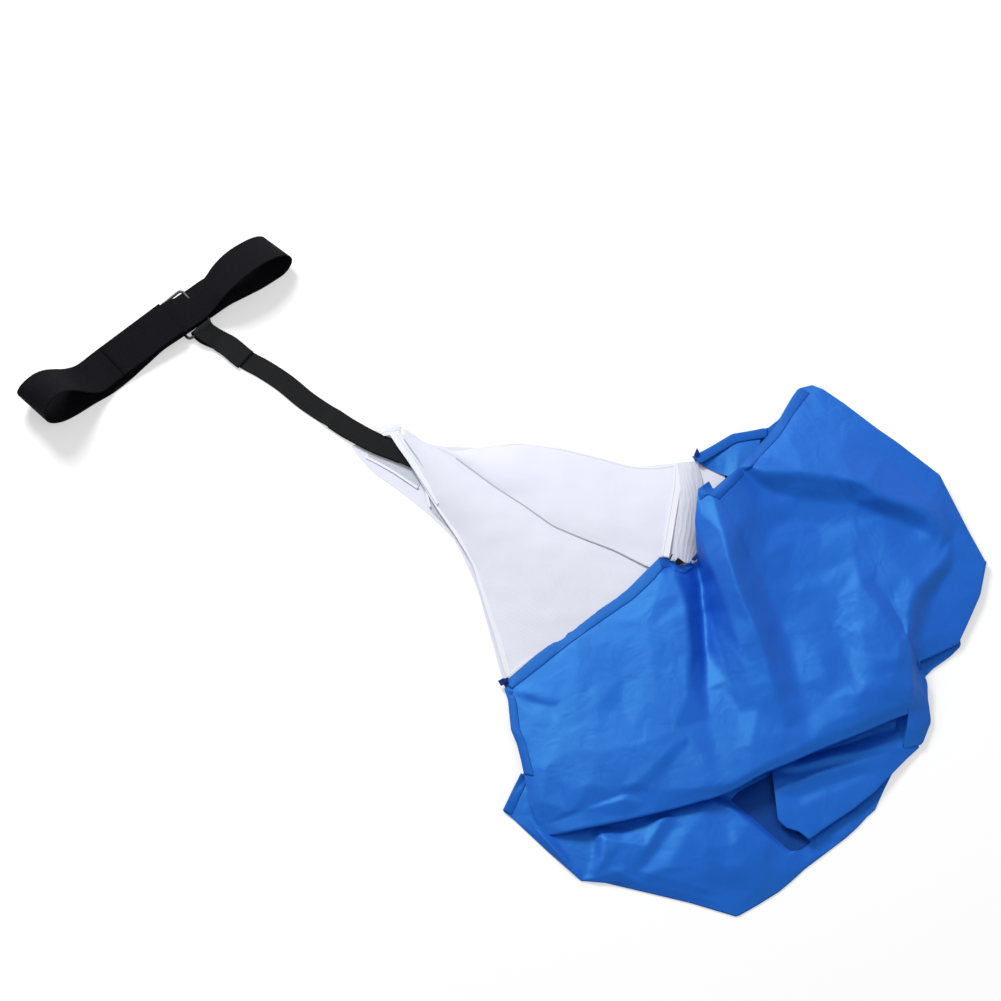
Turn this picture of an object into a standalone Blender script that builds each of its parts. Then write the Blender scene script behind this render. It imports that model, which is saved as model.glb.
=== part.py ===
"""Speed parachute, lying collapsed on the floor as it is put down after a run.

Metres, +Z up, floor at Z zero, belt up and to the left, canopy down and to the right.
The chain of parts is belt, ring, tether, mesh cone, canopy, and each hangs on the one before.
"""

import math

import bmesh
import bpy
from mathutils import Vector

# Running clearance between touching pieces, and the least gap kept everywhere
GAP = 0.0003

# Waist belt webbing, a strip that closes on itself with hook and loop
BELT_WIDTH = 0.050
WEB_THICKNESS = 0.0016
BELT_HEADING = math.radians(40)
BELT_LEFT_REACH = 0.220
BELT_RIGHT_REACH = 0.134
LEFT_LOOP_HEIGHT = 0.050
RIGHT_LOOP_HEIGHT = 0.036
LOOP_TILT_SHARE = 0.22
SLIDE_TRAVEL = 0.025

# Hook and loop closure
TONGUE_LENGTH = 0.090
TONGUE_END = 0.017
PATCH_THICKNESS = 0.0012
PATCH_MARGIN = 0.0015

# Rectangular wire ring that the belt runs through
WIRE_DIAMETER = 0.0035
RING_INNER_WIDTH = 0.030
RING_CORNER_RADIUS = 0.005
RING_PLACE = (-0.3481, 0.3074)
RING_FAR_PLAY = 0.001

# Tether webbing from the ring to the mouth of the mesh cone
TETHER_WIDTH = 0.026
TETHER_LENGTH = 0.300
TETHER_HEADING = math.radians(-33)
TETHER_BEND_LENGTH = 0.060
LOOP_CLEARANCE = 0.0025
LOOP_TO_BELT = 0.0005
FOLD_BACK_LENGTH = 0.067
FOLD_CLOSE_LENGTH = 0.025
BACKING_LENGTH = 0.100

# White mesh cone, four tapered panels with bound seams and hems
MESH_LENGTH = 0.340
MESH_THICKNESS = 0.0006
TAPE_THICKNESS = 0.0010
SEAM_TAPE_WIDTH = 0.008
HEM_TAPE_WIDTH = 0.010
CONE_NECK_WIDTH = 0.064
NECK_OVERLAP = 0.049
CONE_LOFT = 0.020
TIE_LENGTH = 0.006
TIE_DIAMETER = 0.003

# How the collapsed cone lies: each base corner's heading from the neck, and its reach along the floor
LEFT_CORNER_HEADING = math.radians(-68.6)
FRONT_CORNER_HEADING = math.radians(-26.9)
RIGHT_CORNER_HEADING = math.radians(-2.2)
UNDER_CORNER_HEADING = math.radians(-31.3)
NECK_HEADING = math.radians(-62.5)
LEFT_REACH_SHARE = 0.925
FRONT_REACH_SHARE = 0.985
RIGHT_REACH_SHARE = 0.935
UNDER_REACH_SHARE = 1.02
LEFT_BOW_SHARE = 0.055
FRONT_BOW_SHARE = -0.035
UNDER_BOW_SHARE = 0.02
NECK_RISE_SHARE = 0.45
LOW_NECK_SHARE = 1.4
FRONT_SWELL_SHARE = 0.35
UPPER_SWELL_SHARE = 0.25
RIGHT_SWELL_SHARE = 0.1
SWELL_END_SHARE = 0.85

# Blue canopy, one sheet of taffeta with a turned hem
CANOPY_WIDTH = 0.550
CANOPY_DEPTH = 0.660
CANOPY_LOFT = 0.060
CLOTH_THICKNESS = 0.0008
CANOPY_HEM_WIDTH = 0.012
CANOPY_HEM_THICKNESS = 0.0016

WIRE_RADIUS = WIRE_DIAMETER / 2
HALF_WEB = WEB_THICKNESS / 2


def clear_scene():
    for item in list(bpy.data.objects):
        bpy.data.objects.remove(item, do_unlink=True)


def make_material(name, colour, roughness, metallic=0.0):
    material = bpy.data.materials.new(name)
    material.use_nodes = True
    shader = material.node_tree.nodes["Principled BSDF"]
    shader.inputs["Base Color"].default_value = (*colour, 1.0)
    shader.inputs["Roughness"].default_value = roughness
    shader.inputs["Metallic"].default_value = metallic
    material.diffuse_color = (*colour, 1.0)
    return material


def link_mesh(name, mesh, material, parent=None):
    thing = bpy.data.objects.new(name, mesh)
    mesh.materials.append(material)
    bpy.context.scene.collection.objects.link(thing)
    thing.parent = parent
    return thing


def make_frame(name, place, heading=0.0, parent=None):
    frame = bpy.data.objects.new(name, None)
    frame.location = place
    frame.rotation_euler = (0.0, 0.0, heading)
    frame.parent = parent
    bpy.context.scene.collection.objects.link(frame)
    return frame


def thicken(thing, thickness):
    shell = thing.modifiers.new("thickness", "SOLIDIFY")
    shell.thickness = thickness
    shell.offset = 0.0
    shell.use_even_offset = True
    shell.thickness_clamp = 1.0
    return shell


def curve_through(points, steps):
    """Points of a centripetal Catmull-Rom curve through the given points, so many steps to each span."""
    points = [Vector(p) for p in points]
    ends = [2 * points[0] - points[1], *points, 2 * points[-1] - points[-2]]
    found = []
    for a, b, c, d in zip(ends, ends[1:], ends[2:], ends[3:]):
        k0 = max((b - a).length, GAP / steps) ** 0.5
        k1 = max((c - b).length, GAP / steps) ** 0.5
        k2 = max((d - c).length, GAP / steps) ** 0.5
        leave = k1 * ((b - a) / k0 - (c - a) / (k0 + k1) + (c - b) / k1)
        reach = k1 * ((c - b) / k1 - (d - b) / (k1 + k2) + (d - c) / k2)
        for step in range(steps):
            t = step / steps
            ease = t * t * (3 - 2 * t)
            found.append(b * (1 - ease) + c * ease + leave * t * (1 - t) ** 2 - reach * t * t * (1 - t))
    found.append(points[-1])
    return found


def spaced_along(points, start, end, count):
    """So many points at even distances along a polyline, from start to that far short of its end."""
    lengths = [0.0]
    for a, b in zip(points, points[1:]):
        lengths.append(lengths[-1] + (b - a).length)
    first, last = start, lengths[-1] - end
    found = []
    for i in range(count):
        want = first + (last - first) * i / (count - 1)
        k = max(j for j in range(len(lengths) - 1) if lengths[j] <= want)
        span = lengths[k + 1] - lengths[k]
        found.append(points[k].lerp(points[k + 1], (want - lengths[k]) / span if span else 0.0))
    return found


def sheet_from_rows(name, rows, thickness, material, parent=None):
    """A thin sheet over a grid of points, given as rows of equal length, thickened to a closed solid."""
    shape = bmesh.new()
    grid = [[shape.verts.new(p) for p in row] for row in rows]
    for upper, lower in zip(grid, grid[1:]):
        for i in range(len(upper) - 1):
            shape.faces.new((upper[i], upper[i + 1], lower[i + 1], lower[i]))
    bmesh.ops.recalc_face_normals(shape, faces=shape.faces)
    mesh = bpy.data.meshes.new(name)
    shape.to_mesh(mesh)
    shape.free()
    mesh.shade_smooth()
    thing = link_mesh(name, mesh, material, parent)
    thicken(thing, thickness)
    return thing


def ribbon(name, path, sides, thickness, material, parent=None):
    """A strap along a path, between the two side offsets given for each of its points."""
    rows = [[p + offset for p, offset in zip(path, side)] for side in sides]
    return sheet_from_rows(name, rows, thickness, material, parent)


def flat_patch(name, length, width, thickness, corner, material, parent):
    """A flat strip with cut corners and softened edges: corner is its lowest one."""
    shape = bmesh.new()
    bmesh.ops.create_cube(shape, size=1.0)
    bmesh.ops.scale(shape, vec=(length, width, thickness), verts=shape.verts)
    bmesh.ops.translate(shape, vec=(length / 2, width / 2, thickness / 2), verts=shape.verts)
    mesh = bpy.data.meshes.new(name)
    shape.to_mesh(mesh)
    shape.free()
    thing = link_mesh(name, mesh, material, parent)
    thing.location = corner
    bevel = thing.modifiers.new("soft edges", "BEVEL")
    bevel.width = thickness / 4
    bevel.segments = 1
    return thing


clear_scene()
upward = Vector((0.0, 0.0, 1.0))
black_webbing = make_material("black_webbing", (0.012, 0.012, 0.016), 0.85)
black_hook = make_material("black_hook", (0.015, 0.015, 0.018), 0.6)
grey_metal = make_material("grey_metal", (0.62, 0.62, 0.64), 0.3, 1.0)
white_mesh = make_material("white_mesh", (0.80, 0.81, 0.90), 0.7)
white_tape = make_material("white_tape", (0.86, 0.87, 0.93), 0.6)
blue_taffeta = make_material("blue_taffeta", (0.02, 0.16, 0.66), 0.45)
blue_tape = make_material("blue_tape", (0.012, 0.08, 0.42), 0.6)

# Heights at the ring: the tether's loose eye lies on the floor and carries the ring's near bar
EYE_RADIUS = WIRE_RADIUS + LOOP_CLEARANCE
BAR_HEIGHT = EYE_RADIUS + WEB_THICKNESS
BELT_NEAR_EDGE = BAR_HEIGHT + LOOP_TO_BELT
RING_PITCH = RING_INNER_WIDTH + WIRE_DIAMETER
RING_TILT = math.asin((WEB_THICKNESS + WIRE_DIAMETER + 2 * GAP) / RING_PITCH)
RING_INNER_LENGTH = BELT_NEAR_EDGE - WIRE_RADIUS + BELT_WIDTH + RING_FAR_PLAY
HIGH_BAR_TOP = BAR_HEIGHT + RING_PITCH / 2 * math.sin(RING_TILT) + WIRE_RADIUS

# Belt frame: X along the belt, Y across it away from the tether, origin under the ring's near bar
belt_frame = make_frame("belt_frame", (*RING_PLACE, 0.0), BELT_HEADING)
ring_pivot = make_frame("ring_pivot", (0.0, 0.0, BAR_HEIGHT), parent=belt_frame)


def build_ring():
    half_width = RING_PITCH / 2
    far_side = RING_INNER_LENGTH + WIRE_DIAMETER
    centres = (
        (half_width - RING_CORNER_RADIUS, RING_CORNER_RADIUS, -90),
        (half_width - RING_CORNER_RADIUS, far_side - RING_CORNER_RADIUS, 0),
        (RING_CORNER_RADIUS - half_width, far_side - RING_CORNER_RADIUS, 90),
        (RING_CORNER_RADIUS - half_width, RING_CORNER_RADIUS, 180),
    )
    corner_steps = 5
    outline = []
    for x, y, start in centres:
        for step in range(corner_steps + 1):
            turn = math.radians(start + 90 * step / corner_steps)
            outline.append((x + RING_CORNER_RADIUS * math.cos(turn), y + RING_CORNER_RADIUS * math.sin(turn)))
    curve = bpy.data.curves.new("belt_ring", "CURVE")
    curve.dimensions = "3D"
    curve.bevel_depth = WIRE_RADIUS
    curve.bevel_resolution = 2
    wire = curve.splines.new("POLY")
    wire.points.add(len(outline) - 1)
    for point, (x, y) in zip(wire.points, outline):
        point.co = (x, y, 0.0, 1.0)
        point.radius = 1.0
    wire.use_cyclic_u = True
    ring = bpy.data.objects.new("belt_ring", curve)
    curve.materials.append(grey_metal)
    bpy.context.scene.collection.objects.link(ring)
    ring.parent = ring_pivot
    ring.rotation_euler = (0.0, -RING_TILT, 0.0)


# The right-hand band lies on a ramp under the tongue, from near the floor up over the ring's high bar
OVERLAP_END = TONGUE_END + TONGUE_LENGTH
RAMP_LOW = WEB_THICKNESS + GAP + HALF_WEB
RAMP_HIGH = HIGH_BAR_TOP + GAP + HALF_WEB
RAMP_TOP_AT = RING_PITCH / 2 - SLIDE_TRAVEL - WIRE_DIAMETER
RAMP_RUN = OVERLAP_END + RAMP_TOP_AT
RAMP_ANGLE = math.atan2(RAMP_HIGH - RAMP_LOW, RAMP_RUN)
STACK_HEIGHT = WEB_THICKNESS + 2 * PATCH_THICKNESS + 3 * GAP
TILT_START = RAMP_HIGH + WEB_THICKNESS


def on_ramp(along, above):
    """A point of the ramp seen from the belt's edge, from the hidden end: so far along it and above it."""
    run, rise = math.cos(RAMP_ANGLE), math.sin(RAMP_ANGLE)
    return -OVERLAP_END + along * run - above * rise, RAMP_LOW + along * rise + above * run


def belt_profile():
    """The belt's line seen from its edge: hidden end, right loop, lower band, left loop, tongue line."""
    right, left = BELT_RIGHT_REACH, BELT_LEFT_REACH
    high, tall = RIGHT_LOOP_HEIGHT, LEFT_LOOP_HEIGHT
    flat = RING_PITCH / 2 + SLIDE_TRAVEL + 2 * WIRE_DIAMETER
    hidden_end_shares = (0.03, 0.35, 0.7, 1.0)
    hidden_end = [on_ramp(RAMP_RUN * share, 0.0) for share in hidden_end_shares]
    right_loop_shares = (
        (0.17, 0.36), (0.32, 0.64), (0.48, 0.90), (0.66, 1.0), (0.83, 0.92), (0.95, 0.72), (1.0, 0.44),
        (0.98, 0.20), (0.92, 0.05), (0.82, 0.0), (0.70, 0.0), (0.60, 0.0),
    )
    right_loop = [(x * right, max(z * high, HALF_WEB)) for x, z in right_loop_shares]
    lower = [(x, BAR_HEIGHT) for x in (flat, flat / 2, 0.0, -flat / 2, -flat)]
    left_loop_shares = (
        (0.36, 0.0), (0.45, 0.0), (0.60, 0.0), (0.76, 0.0), (0.87, 0.02), (0.95, 0.15), (0.99, 0.40),
        (1.0, 0.66), (0.97, 0.90), (0.90, 1.0), (0.82, 0.88), (0.75, 0.62), (0.68, 0.34), (0.61, 0.18),
    )
    left_loop = [(-x * left, max(z * tall, HALF_WEB)) for x, z in left_loop_shares]
    tongue_root_share = 0.06
    root = TONGUE_LENGTH * tongue_root_share
    tongue_line = [on_ramp(-back, STACK_HEIGHT) for back in (2 * root, root, GAP)]
    points = hidden_end + right_loop + lower + left_loop + tongue_line
    curve = curve_through([(x, 0.0, z) for x, z in points], 2)
    return [Vector((p.x, 0.0, max(p.z, HALF_WEB))) for p in curve]


def build_belt():
    path = belt_profile()
    tilts = [upward * max(0.0, p.z - TILT_START) * LOOP_TILT_SHARE for p in path]
    near = [Vector((0.0, BELT_NEAR_EDGE, 0.0)) + tilt for tilt in tilts]
    far = [Vector((0.0, BELT_NEAR_EDGE + BELT_WIDTH, 0.0)) - tilt for tilt in tilts]
    ribbon("belt_webbing", path, (near, far), WEB_THICKNESS, black_webbing, belt_frame)
    ramp_frame = make_frame("ramp_frame", (-OVERLAP_END, BELT_NEAR_EDGE, RAMP_LOW), parent=belt_frame)
    ramp_frame.rotation_euler = (0.0, -RAMP_ANGLE, 0.0)
    patch_length = TONGUE_LENGTH - 2 * PATCH_MARGIN
    patch_width = BELT_WIDTH - 2 * PATCH_MARGIN
    above_band = HALF_WEB + GAP
    flat_patch(
        "belt_loop_strip", patch_length, patch_width, PATCH_THICKNESS,
        (2 * PATCH_MARGIN, PATCH_MARGIN, above_band), black_webbing, ramp_frame,
    )
    tongue_top = HALF_WEB + STACK_HEIGHT
    tongue_pivot = make_frame("tongue_pivot", (0.0, 0.0, tongue_top), parent=ramp_frame)
    flat_patch(
        "belt_tongue", TONGUE_LENGTH, BELT_WIDTH, WEB_THICKNESS,
        (0.0, 0.0, -WEB_THICKNESS), black_webbing, tongue_pivot,
    )
    flat_patch(
        "belt_hook_strip", patch_length, patch_width, PATCH_THICKNESS,
        (2 * PATCH_MARGIN, PATCH_MARGIN, -WEB_THICKNESS - GAP - PATCH_THICKNESS), black_hook, tongue_pivot,
    )


# Tether frame and line, in the part's own axes
bar_centre = Vector((*RING_PLACE, 0.0))
tether_direction = Vector((math.cos(TETHER_HEADING), math.sin(TETHER_HEADING), 0.0))
NECK_STRAP_HEIGHT = TAPE_THICKNESS + GAP + WEB_THICKNESS + GAP + HALF_WEB


def tether_heading(distance):
    """The tether leaves the bar square to it, and turns to its own heading over the bend."""
    share = min(1.0, max(0.0, distance / TETHER_BEND_LENGTH))
    square = BELT_HEADING - math.pi / 2
    return square + (TETHER_HEADING - square) * share


def tether_place(distance):
    """Middle of the tether on the floor, so far from the ring's bar."""
    place = bar_centre.copy()
    pieces = 12
    bend = min(distance, TETHER_BEND_LENGTH)
    for piece in range(pieces):
        turn = tether_heading(bend * (piece + 0.5) / pieces)
        place += Vector((math.cos(turn), math.sin(turn), 0.0)) * bend / pieces
    straight = max(0.0, distance - TETHER_BEND_LENGTH)
    return place + tether_direction * straight


def tether_side(distance):
    """Half the tether's width, square to its line."""
    turn = tether_heading(distance) + math.pi / 2
    return Vector((math.cos(turn), math.sin(turn), 0.0)) * TETHER_WIDTH / 2


def tether_strip(name, stations, material):
    """A strip of tether webbing through stations of distance and height."""
    smooth = curve_through([(d, 0.0, z) for d, z in stations], 3)
    path = [tether_place(p.x) + upward * max(p.z, HALF_WEB) for p in smooth]
    half = [tether_side(p.x) for p in smooth]
    ribbon(name, path, ([-h for h in half], half), WEB_THICKNESS, material)


def build_tether():
    centre = EYE_RADIUS + HALF_WEB
    doubled = HALF_WEB + WEB_THICKNESS + GAP
    top_of_eye = BAR_HEIGHT + centre
    fold_back_shares = (1.0, 0.8, 0.6)
    fold_back = [(FOLD_BACK_LENGTH * share, doubled) for share in fold_back_shares]
    closing = [(FOLD_CLOSE_LENGTH, doubled + GAP), (FOLD_CLOSE_LENGTH / 2, (doubled + top_of_eye) / 2)]
    eye = []
    for step in range(7):
        turn = math.radians(90 + 30 * step)
        eye.append((centre * math.cos(turn), BAR_HEIGHT + centre * math.sin(turn)))
    backing_start = TETHER_LENGTH - BACKING_LENGTH
    on_tape = TETHER_LENGTH - NECK_OVERLAP - 2 * SEAM_TAPE_WIDTH - 2 * WEB_THICKNESS
    off_floor = on_tape - 5 * WEB_THICKNESS
    floor_shares = (0.12, 0.3, 0.5, 0.7, 0.86, 0.94)
    neck_shares = (0.0, 0.3, 0.6, 1.0)
    floor_run = [(backing_start * share, HALF_WEB) for share in floor_shares]
    over_backing = [(backing_start, doubled + GAP), (off_floor, doubled + GAP)]
    neck = [(on_tape + (TETHER_LENGTH - on_tape) * share, NECK_STRAP_HEIGHT) for share in neck_shares]
    tether_strip("tether_webbing", fold_back + closing + eye + floor_run + over_backing + neck, black_webbing)
    under = NECK_STRAP_HEIGHT - WEB_THICKNESS - GAP
    backing_end = TETHER_LENGTH - 2 * WEB_THICKNESS
    on_floor = [(backing_start + WEB_THICKNESS, HALF_WEB), ((backing_start + off_floor) / 2, HALF_WEB)]
    lifted = [(on_tape, under), ((on_tape + backing_end) / 2, under), (backing_end, under)]
    tether_strip("tether_backing", [*on_floor, (off_floor, HALF_WEB), *lifted], black_webbing)


# Mesh cone: its neck lies across the tether's end, its four corners lie fanned out on the floor
neck_centre = tether_place(TETHER_LENGTH - SEAM_TAPE_WIDTH)
neck_line = Vector((math.cos(NECK_HEADING), math.sin(NECK_HEADING), 0.0))
NECK_TAPE_HEIGHT = NECK_STRAP_HEIGHT + HALF_WEB + GAP + TAPE_THICKNESS / 2
EDGE_HEIGHT = TAPE_THICKNESS + GAP + TAPE_THICKNESS / 2
FLOOR_MESH_HEIGHT = MESH_THICKNESS / 2
FLOOR_TAPE_LIFT = upward * (TAPE_THICKNESS / 2 - FLOOR_MESH_HEIGHT)
SEAM_STEPS = 8


def cone_corner(heading, reach_share, height):
    along = Vector((math.cos(heading), math.sin(heading), 0.0))
    return neck_centre + along * MESH_LENGTH * reach_share + upward * height


corner_left = cone_corner(LEFT_CORNER_HEADING, LEFT_REACH_SHARE, EDGE_HEIGHT)
corner_front = cone_corner(FRONT_CORNER_HEADING, FRONT_REACH_SHARE, CONE_LOFT)
corner_right = cone_corner(RIGHT_CORNER_HEADING, RIGHT_REACH_SHARE, EDGE_HEIGHT)
corner_under = cone_corner(UNDER_CORNER_HEADING, UNDER_REACH_SHARE, FLOOR_MESH_HEIGHT)


def seam_line(start, end, bow, lift, settle):
    """A seam from the neck to a corner: bowed sideways, lifted in its middle, its end heights eased in."""
    along = end - start
    aside = upward.cross(along).normalized()
    line = []
    for step in range(SEAM_STEPS + 1):
        t = step / SEAM_STEPS
        flat = start.lerp(end, t)
        eased = min(1.0, t / settle)
        eased = eased * eased * (3 - 2 * eased)
        flat.z = start.z + (end.z - start.z) * eased
        swell = math.sin(math.pi * t)
        line.append(flat + aside * along.length * bow * swell + upward * lift * swell)
    return line


def on_patch(left, right, i, offset_left, offset_right, share, loft):
    """A point on a panel between two seams: share runs from one seam to the other inside the offsets."""
    a, b = left[i], right[i]
    width = (b - a).length
    t = offset_left / width + share * (1 - (offset_left + offset_right) / width)
    swell = math.sin(math.pi * t) * math.sin(math.pi * i / SEAM_STEPS * SWELL_END_SHARE)
    return a.lerp(b, t) + upward * loft * swell


def build_panel(name, left, right, offset_left, offset_right, loft):
    """A mesh panel, and the hem tape along its base, which its last row leaves room for."""
    columns = 5
    across = [j / columns for j in range(columns + 1)]
    rows = [
        [on_patch(left, right, i, offset_left, offset_right, share, loft) for share in across]
        for i in range(SEAM_STEPS + 1)
    ]
    last, before = rows[-1], rows[-2]
    step = (last[0] - before[0]).length
    inner = (HEM_TAPE_WIDTH + GAP) / step
    outer = HEM_TAPE_WIDTH / step
    rows[-1] = [a.lerp(b, 1 - inner) for a, b in zip(before, last)]
    hem_rows = [[a.lerp(b, 1 - outer) for a, b in zip(before, last)], last]
    if loft == 0.0:
        hem_rows = [[p + FLOOR_TAPE_LIFT for p in row] for row in hem_rows]
    sheet_from_rows(f"mesh_panel_{name}", rows, MESH_THICKNESS, white_mesh)
    sheet_from_rows(f"hem_tape_{name}", hem_rows, TAPE_THICKNESS, white_tape)


def build_cone():
    half_neck = neck_line * CONE_NECK_WIDTH / 2
    top = neck_centre + upward * NECK_TAPE_HEIGHT
    low = neck_centre - tether_direction * NECK_OVERLAP + upward * FLOOR_MESH_HEIGHT
    left = seam_line(top + half_neck, corner_left, LEFT_BOW_SHARE, 0.0, NECK_RISE_SHARE)
    front = seam_line(top, corner_front, FRONT_BOW_SHARE, CONE_LOFT * FRONT_SWELL_SHARE, 1.0)
    right = seam_line(top - half_neck, corner_right, 0.0, CONE_LOFT * RIGHT_SWELL_SHARE, NECK_RISE_SHARE)
    half_tape = SEAM_TAPE_WIDTH / 2 + GAP
    whole_tape = SEAM_TAPE_WIDTH + GAP
    build_panel("front", left, front, whole_tape, half_tape, CONE_LOFT * FRONT_SWELL_SHARE)
    build_panel("upper", front, right, half_tape, whole_tape, CONE_LOFT * UPPER_SWELL_SHARE)
    side = -tether_side(TETHER_LENGTH) * LOW_NECK_SHARE
    floor_left = corner_left - upward * (EDGE_HEIGHT - FLOOR_MESH_HEIGHT)
    floor_right = corner_right - upward * (EDGE_HEIGHT - FLOOR_MESH_HEIGHT)
    under_left = seam_line(low + side, floor_left, UNDER_BOW_SHARE, 0.0, 1.0)
    under_right = seam_line(low - side, floor_right, 0.0, 0.0, 1.0)
    under = seam_line(low, corner_under, 0.0, 0.0, 1.0)
    build_panel("lower", under_left, under, 0.0, half_tape, 0.0)
    build_panel("back", under, under_right, half_tape, 0.0, 0.0)
    build_seam_tapes(left, front, right, under, under_left, under_right)


def build_seam_tapes(left, front, right, under, under_left, under_right):
    """Seam tapes lie in the gaps between panels, and along the cone's two outer edges."""
    steps = range(SEAM_STEPS + 1)
    half = SEAM_TAPE_WIDTH / 2
    tape = SEAM_TAPE_WIDTH
    tapes = {
        "seam_tape_left": [[left[i], on_patch(left, front, i, tape, 0.0, 0.0, 0.0)] for i in steps],
        "seam_tape_right": [[on_patch(front, right, i, 0.0, tape, 1.0, 0.0), right[i]] for i in steps],
        "seam_tape_front": [
            [
                on_patch(left, front, i, 0.0, half, 1.0, 0.0),
                front[i],
                on_patch(front, right, i, half, 0.0, 0.0, 0.0),
            ]
            for i in steps
        ],
    }
    for name, rows in tapes.items():
        sheet_from_rows(name, rows, TAPE_THICKNESS, white_tape)
    rows = [
        [
            on_patch(under_left, under, i, 0.0, half, 1.0, 0.0) + FLOOR_TAPE_LIFT,
            on_patch(under, under_right, i, half, 0.0, 0.0, 0.0) + FLOOR_TAPE_LIFT,
        ]
        for i in steps
    ]
    sheet_from_rows("seam_tape_under", rows, TAPE_THICKNESS, white_tape)
    back_off = tether_direction * GAP
    forward = tether_direction * SEAM_TAPE_WIDTH
    neck = [left[0], left[0].lerp(front[0], 0.5), front[0], front[0].lerp(right[0], 0.5), right[0]]
    sheet_from_rows("neck_tape_upper", [[p - back_off - forward for p in neck], [p - back_off for p in neck]],
                    TAPE_THICKNESS, white_tape)
    low = [line[0] + FLOOR_TAPE_LIFT for line in (under_left, under, under_right)]
    sheet_from_rows("neck_tape_lower", [[p - back_off - forward for p in low], [p - back_off for p in low]],
                    TAPE_THICKNESS, white_tape)


def build_tie(name, corner, partner):
    """A short tie cord knotted in the gap between a corner of the mesh cone and a corner of the canopy."""
    along = (partner - corner).normalized()
    start = corner + along * GAP
    end = partner - along * GAP
    curve = bpy.data.curves.new(name, "CURVE")
    curve.dimensions = "3D"
    curve.bevel_depth = TIE_DIAMETER / 2
    curve.bevel_resolution = 2
    curve.use_fill_caps = True
    cord = curve.splines.new("POLY")
    knot_shares = ((0.0, 0.3), (0.3, 0.9), (0.7, 0.9), (1.0, 0.3))
    cord.points.add(len(knot_shares) - 1)
    for point, (share, swell) in zip(cord.points, knot_shares):
        place = start.lerp(end, share)
        place.z = max(place.z, curve.bevel_depth * swell)
        point.co = (*place, 1.0)
        point.radius = swell
    curve.materials.append(blue_tape)
    thing = bpy.data.objects.new(name, curve)
    bpy.context.scene.collection.objects.link(thing)


def tied(corner, heading_degrees):
    """Where the canopy's own corner lies: a tie's length beyond the cone's corner."""
    heading = math.radians(heading_degrees)
    return corner + Vector((math.cos(heading), math.sin(heading), 0.0)) * TIE_LENGTH


canopy_left = tied(corner_left, -75)
canopy_front = tied(corner_front, -40)
canopy_right = tied(corner_right, 10)
canopy_under = tied(corner_under, -15)

# Stations across the canopy, left to right: places as shares of its width, depth and loft, from its front
# corner, in the order hem, three on the upper layer, fold, tuck, outer edge, three on the lower layer, hem
STATION_SHARES = (
    (None, (-0.322, -0.300, 0.08), (-0.300, -0.376, 0.12), (-0.275, -0.444, 0.13), (-0.256, -0.498, 0.13),
     (-0.271, -0.459, 0.075), (-0.338, -0.453, 0.027), (-0.330, -0.436, 0.0), (-0.322, -0.418, 0.0),
     (-0.312, -0.400, 0.0), (-0.302, -0.382, 0.0)),
    (None, (-0.188, -0.238, 0.37), (-0.171, -0.333, 0.37), (-0.167, -0.425, 0.35), (-0.165, -0.486, 0.24),
     (-0.176, -0.424, 0.13), (-0.187, -0.576, 0.027), (-0.207, -0.467, 0.0), (-0.210, -0.420, 0.0),
     (-0.213, -0.360, 0.0), (-0.216, -0.300, 0.0)),
    (None, (-0.082, -0.176, 0.40), (-0.079, -0.285, 0.45), (-0.066, -0.402, 0.45), (-0.071, -0.469, 0.32),
     (-0.062, -0.391, 0.15), (-0.044, -0.602, 0.027), (-0.071, -0.421, 0.0), (-0.090, -0.340, 0.0),
     (-0.105, -0.260, 0.0), (-0.116, -0.186, 0.0)),
    (None, (-0.002, -0.121, 0.45), (0.002, -0.234, 0.46), (0.031, -0.356, 0.47), (0.040, -0.451, 0.36),
     (0.060, -0.361, 0.15), (0.116, -0.641, 0.027), (0.045, -0.376, 0.0), (0.020, -0.270, 0.0),
     (0.000, -0.180, 0.0), (-0.025, -0.088, 0.0)),
    ((0.058, 0.018, 0.15), (0.076, -0.067, 0.14), (0.088, -0.185, 0.22), (0.104, -0.324, 0.38),
     (0.129, -0.430, 0.42), (0.150, -0.340, 0.16), (0.253, -0.558, 0.027), (0.150, -0.345, 0.0),
     (0.115, -0.240, 0.0), (0.070, -0.130, 0.0), None),
    ((0.080, 0.138, 0.70), (0.134, -0.031, 0.97), (0.172, -0.135, 0.93), (0.208, -0.265, 0.72),
     (0.232, -0.385, 0.48), (0.245, -0.310, 0.17), (0.382, -0.464, 0.027), (0.246, -0.300, 0.0),
     (0.185, -0.180, 0.0), (0.110, -0.040, 0.0), (0.042, 0.102, 0.0)),
    ((0.125, 0.144, 0.62), (0.217, -0.013, 0.60), (0.242, -0.125, 0.54), (0.272, -0.240, 0.50),
     (0.310, -0.356, 0.48), (0.315, -0.285, 0.17), (0.421, -0.420, 0.027), (0.303, -0.255, 0.0),
     (0.242, -0.128, 0.0), (0.146, 0.022, 0.0), (0.042, 0.157, 0.0)),
    ((0.169, 0.179, 0.50), (0.270, 0.105, 0.43), (0.326, 0.010, 0.44), (0.374, -0.140, 0.58),
     (0.395, -0.322, 0.42), (0.380, -0.258, 0.15), (0.456, -0.373, 0.027), (0.347, -0.209, 0.0),
     (0.290, -0.080, 0.0), (0.180, 0.080, 0.0), None),
    ((0.238, 0.276, 0.36), (0.403, 0.142, 0.52), (0.509, 0.020, 0.38), (0.495, -0.145, 0.46),
     (0.494, -0.262, 0.34), (0.478, -0.217, 0.12), (0.520, -0.283, 0.027), (0.456, -0.088, 0.0),
     (0.400, 0.020, 0.0), (0.270, 0.150, 0.0), (0.156, 0.233, 0.0)),
    ((0.318, 0.367, 0.09), (0.578, 0.165, 0.12), (0.655, 0.011, 0.10), (0.591, -0.142, 0.07),
     (0.533, -0.224, 0.05), (0.533, -0.224, 0.05), (0.533, -0.224, 0.05), (0.591, -0.142, 0.07),
     (0.655, 0.011, 0.10), (0.578, 0.165, 0.12), (0.318, 0.367, 0.09)),
)
ACROSS_STEPS = 2
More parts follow.
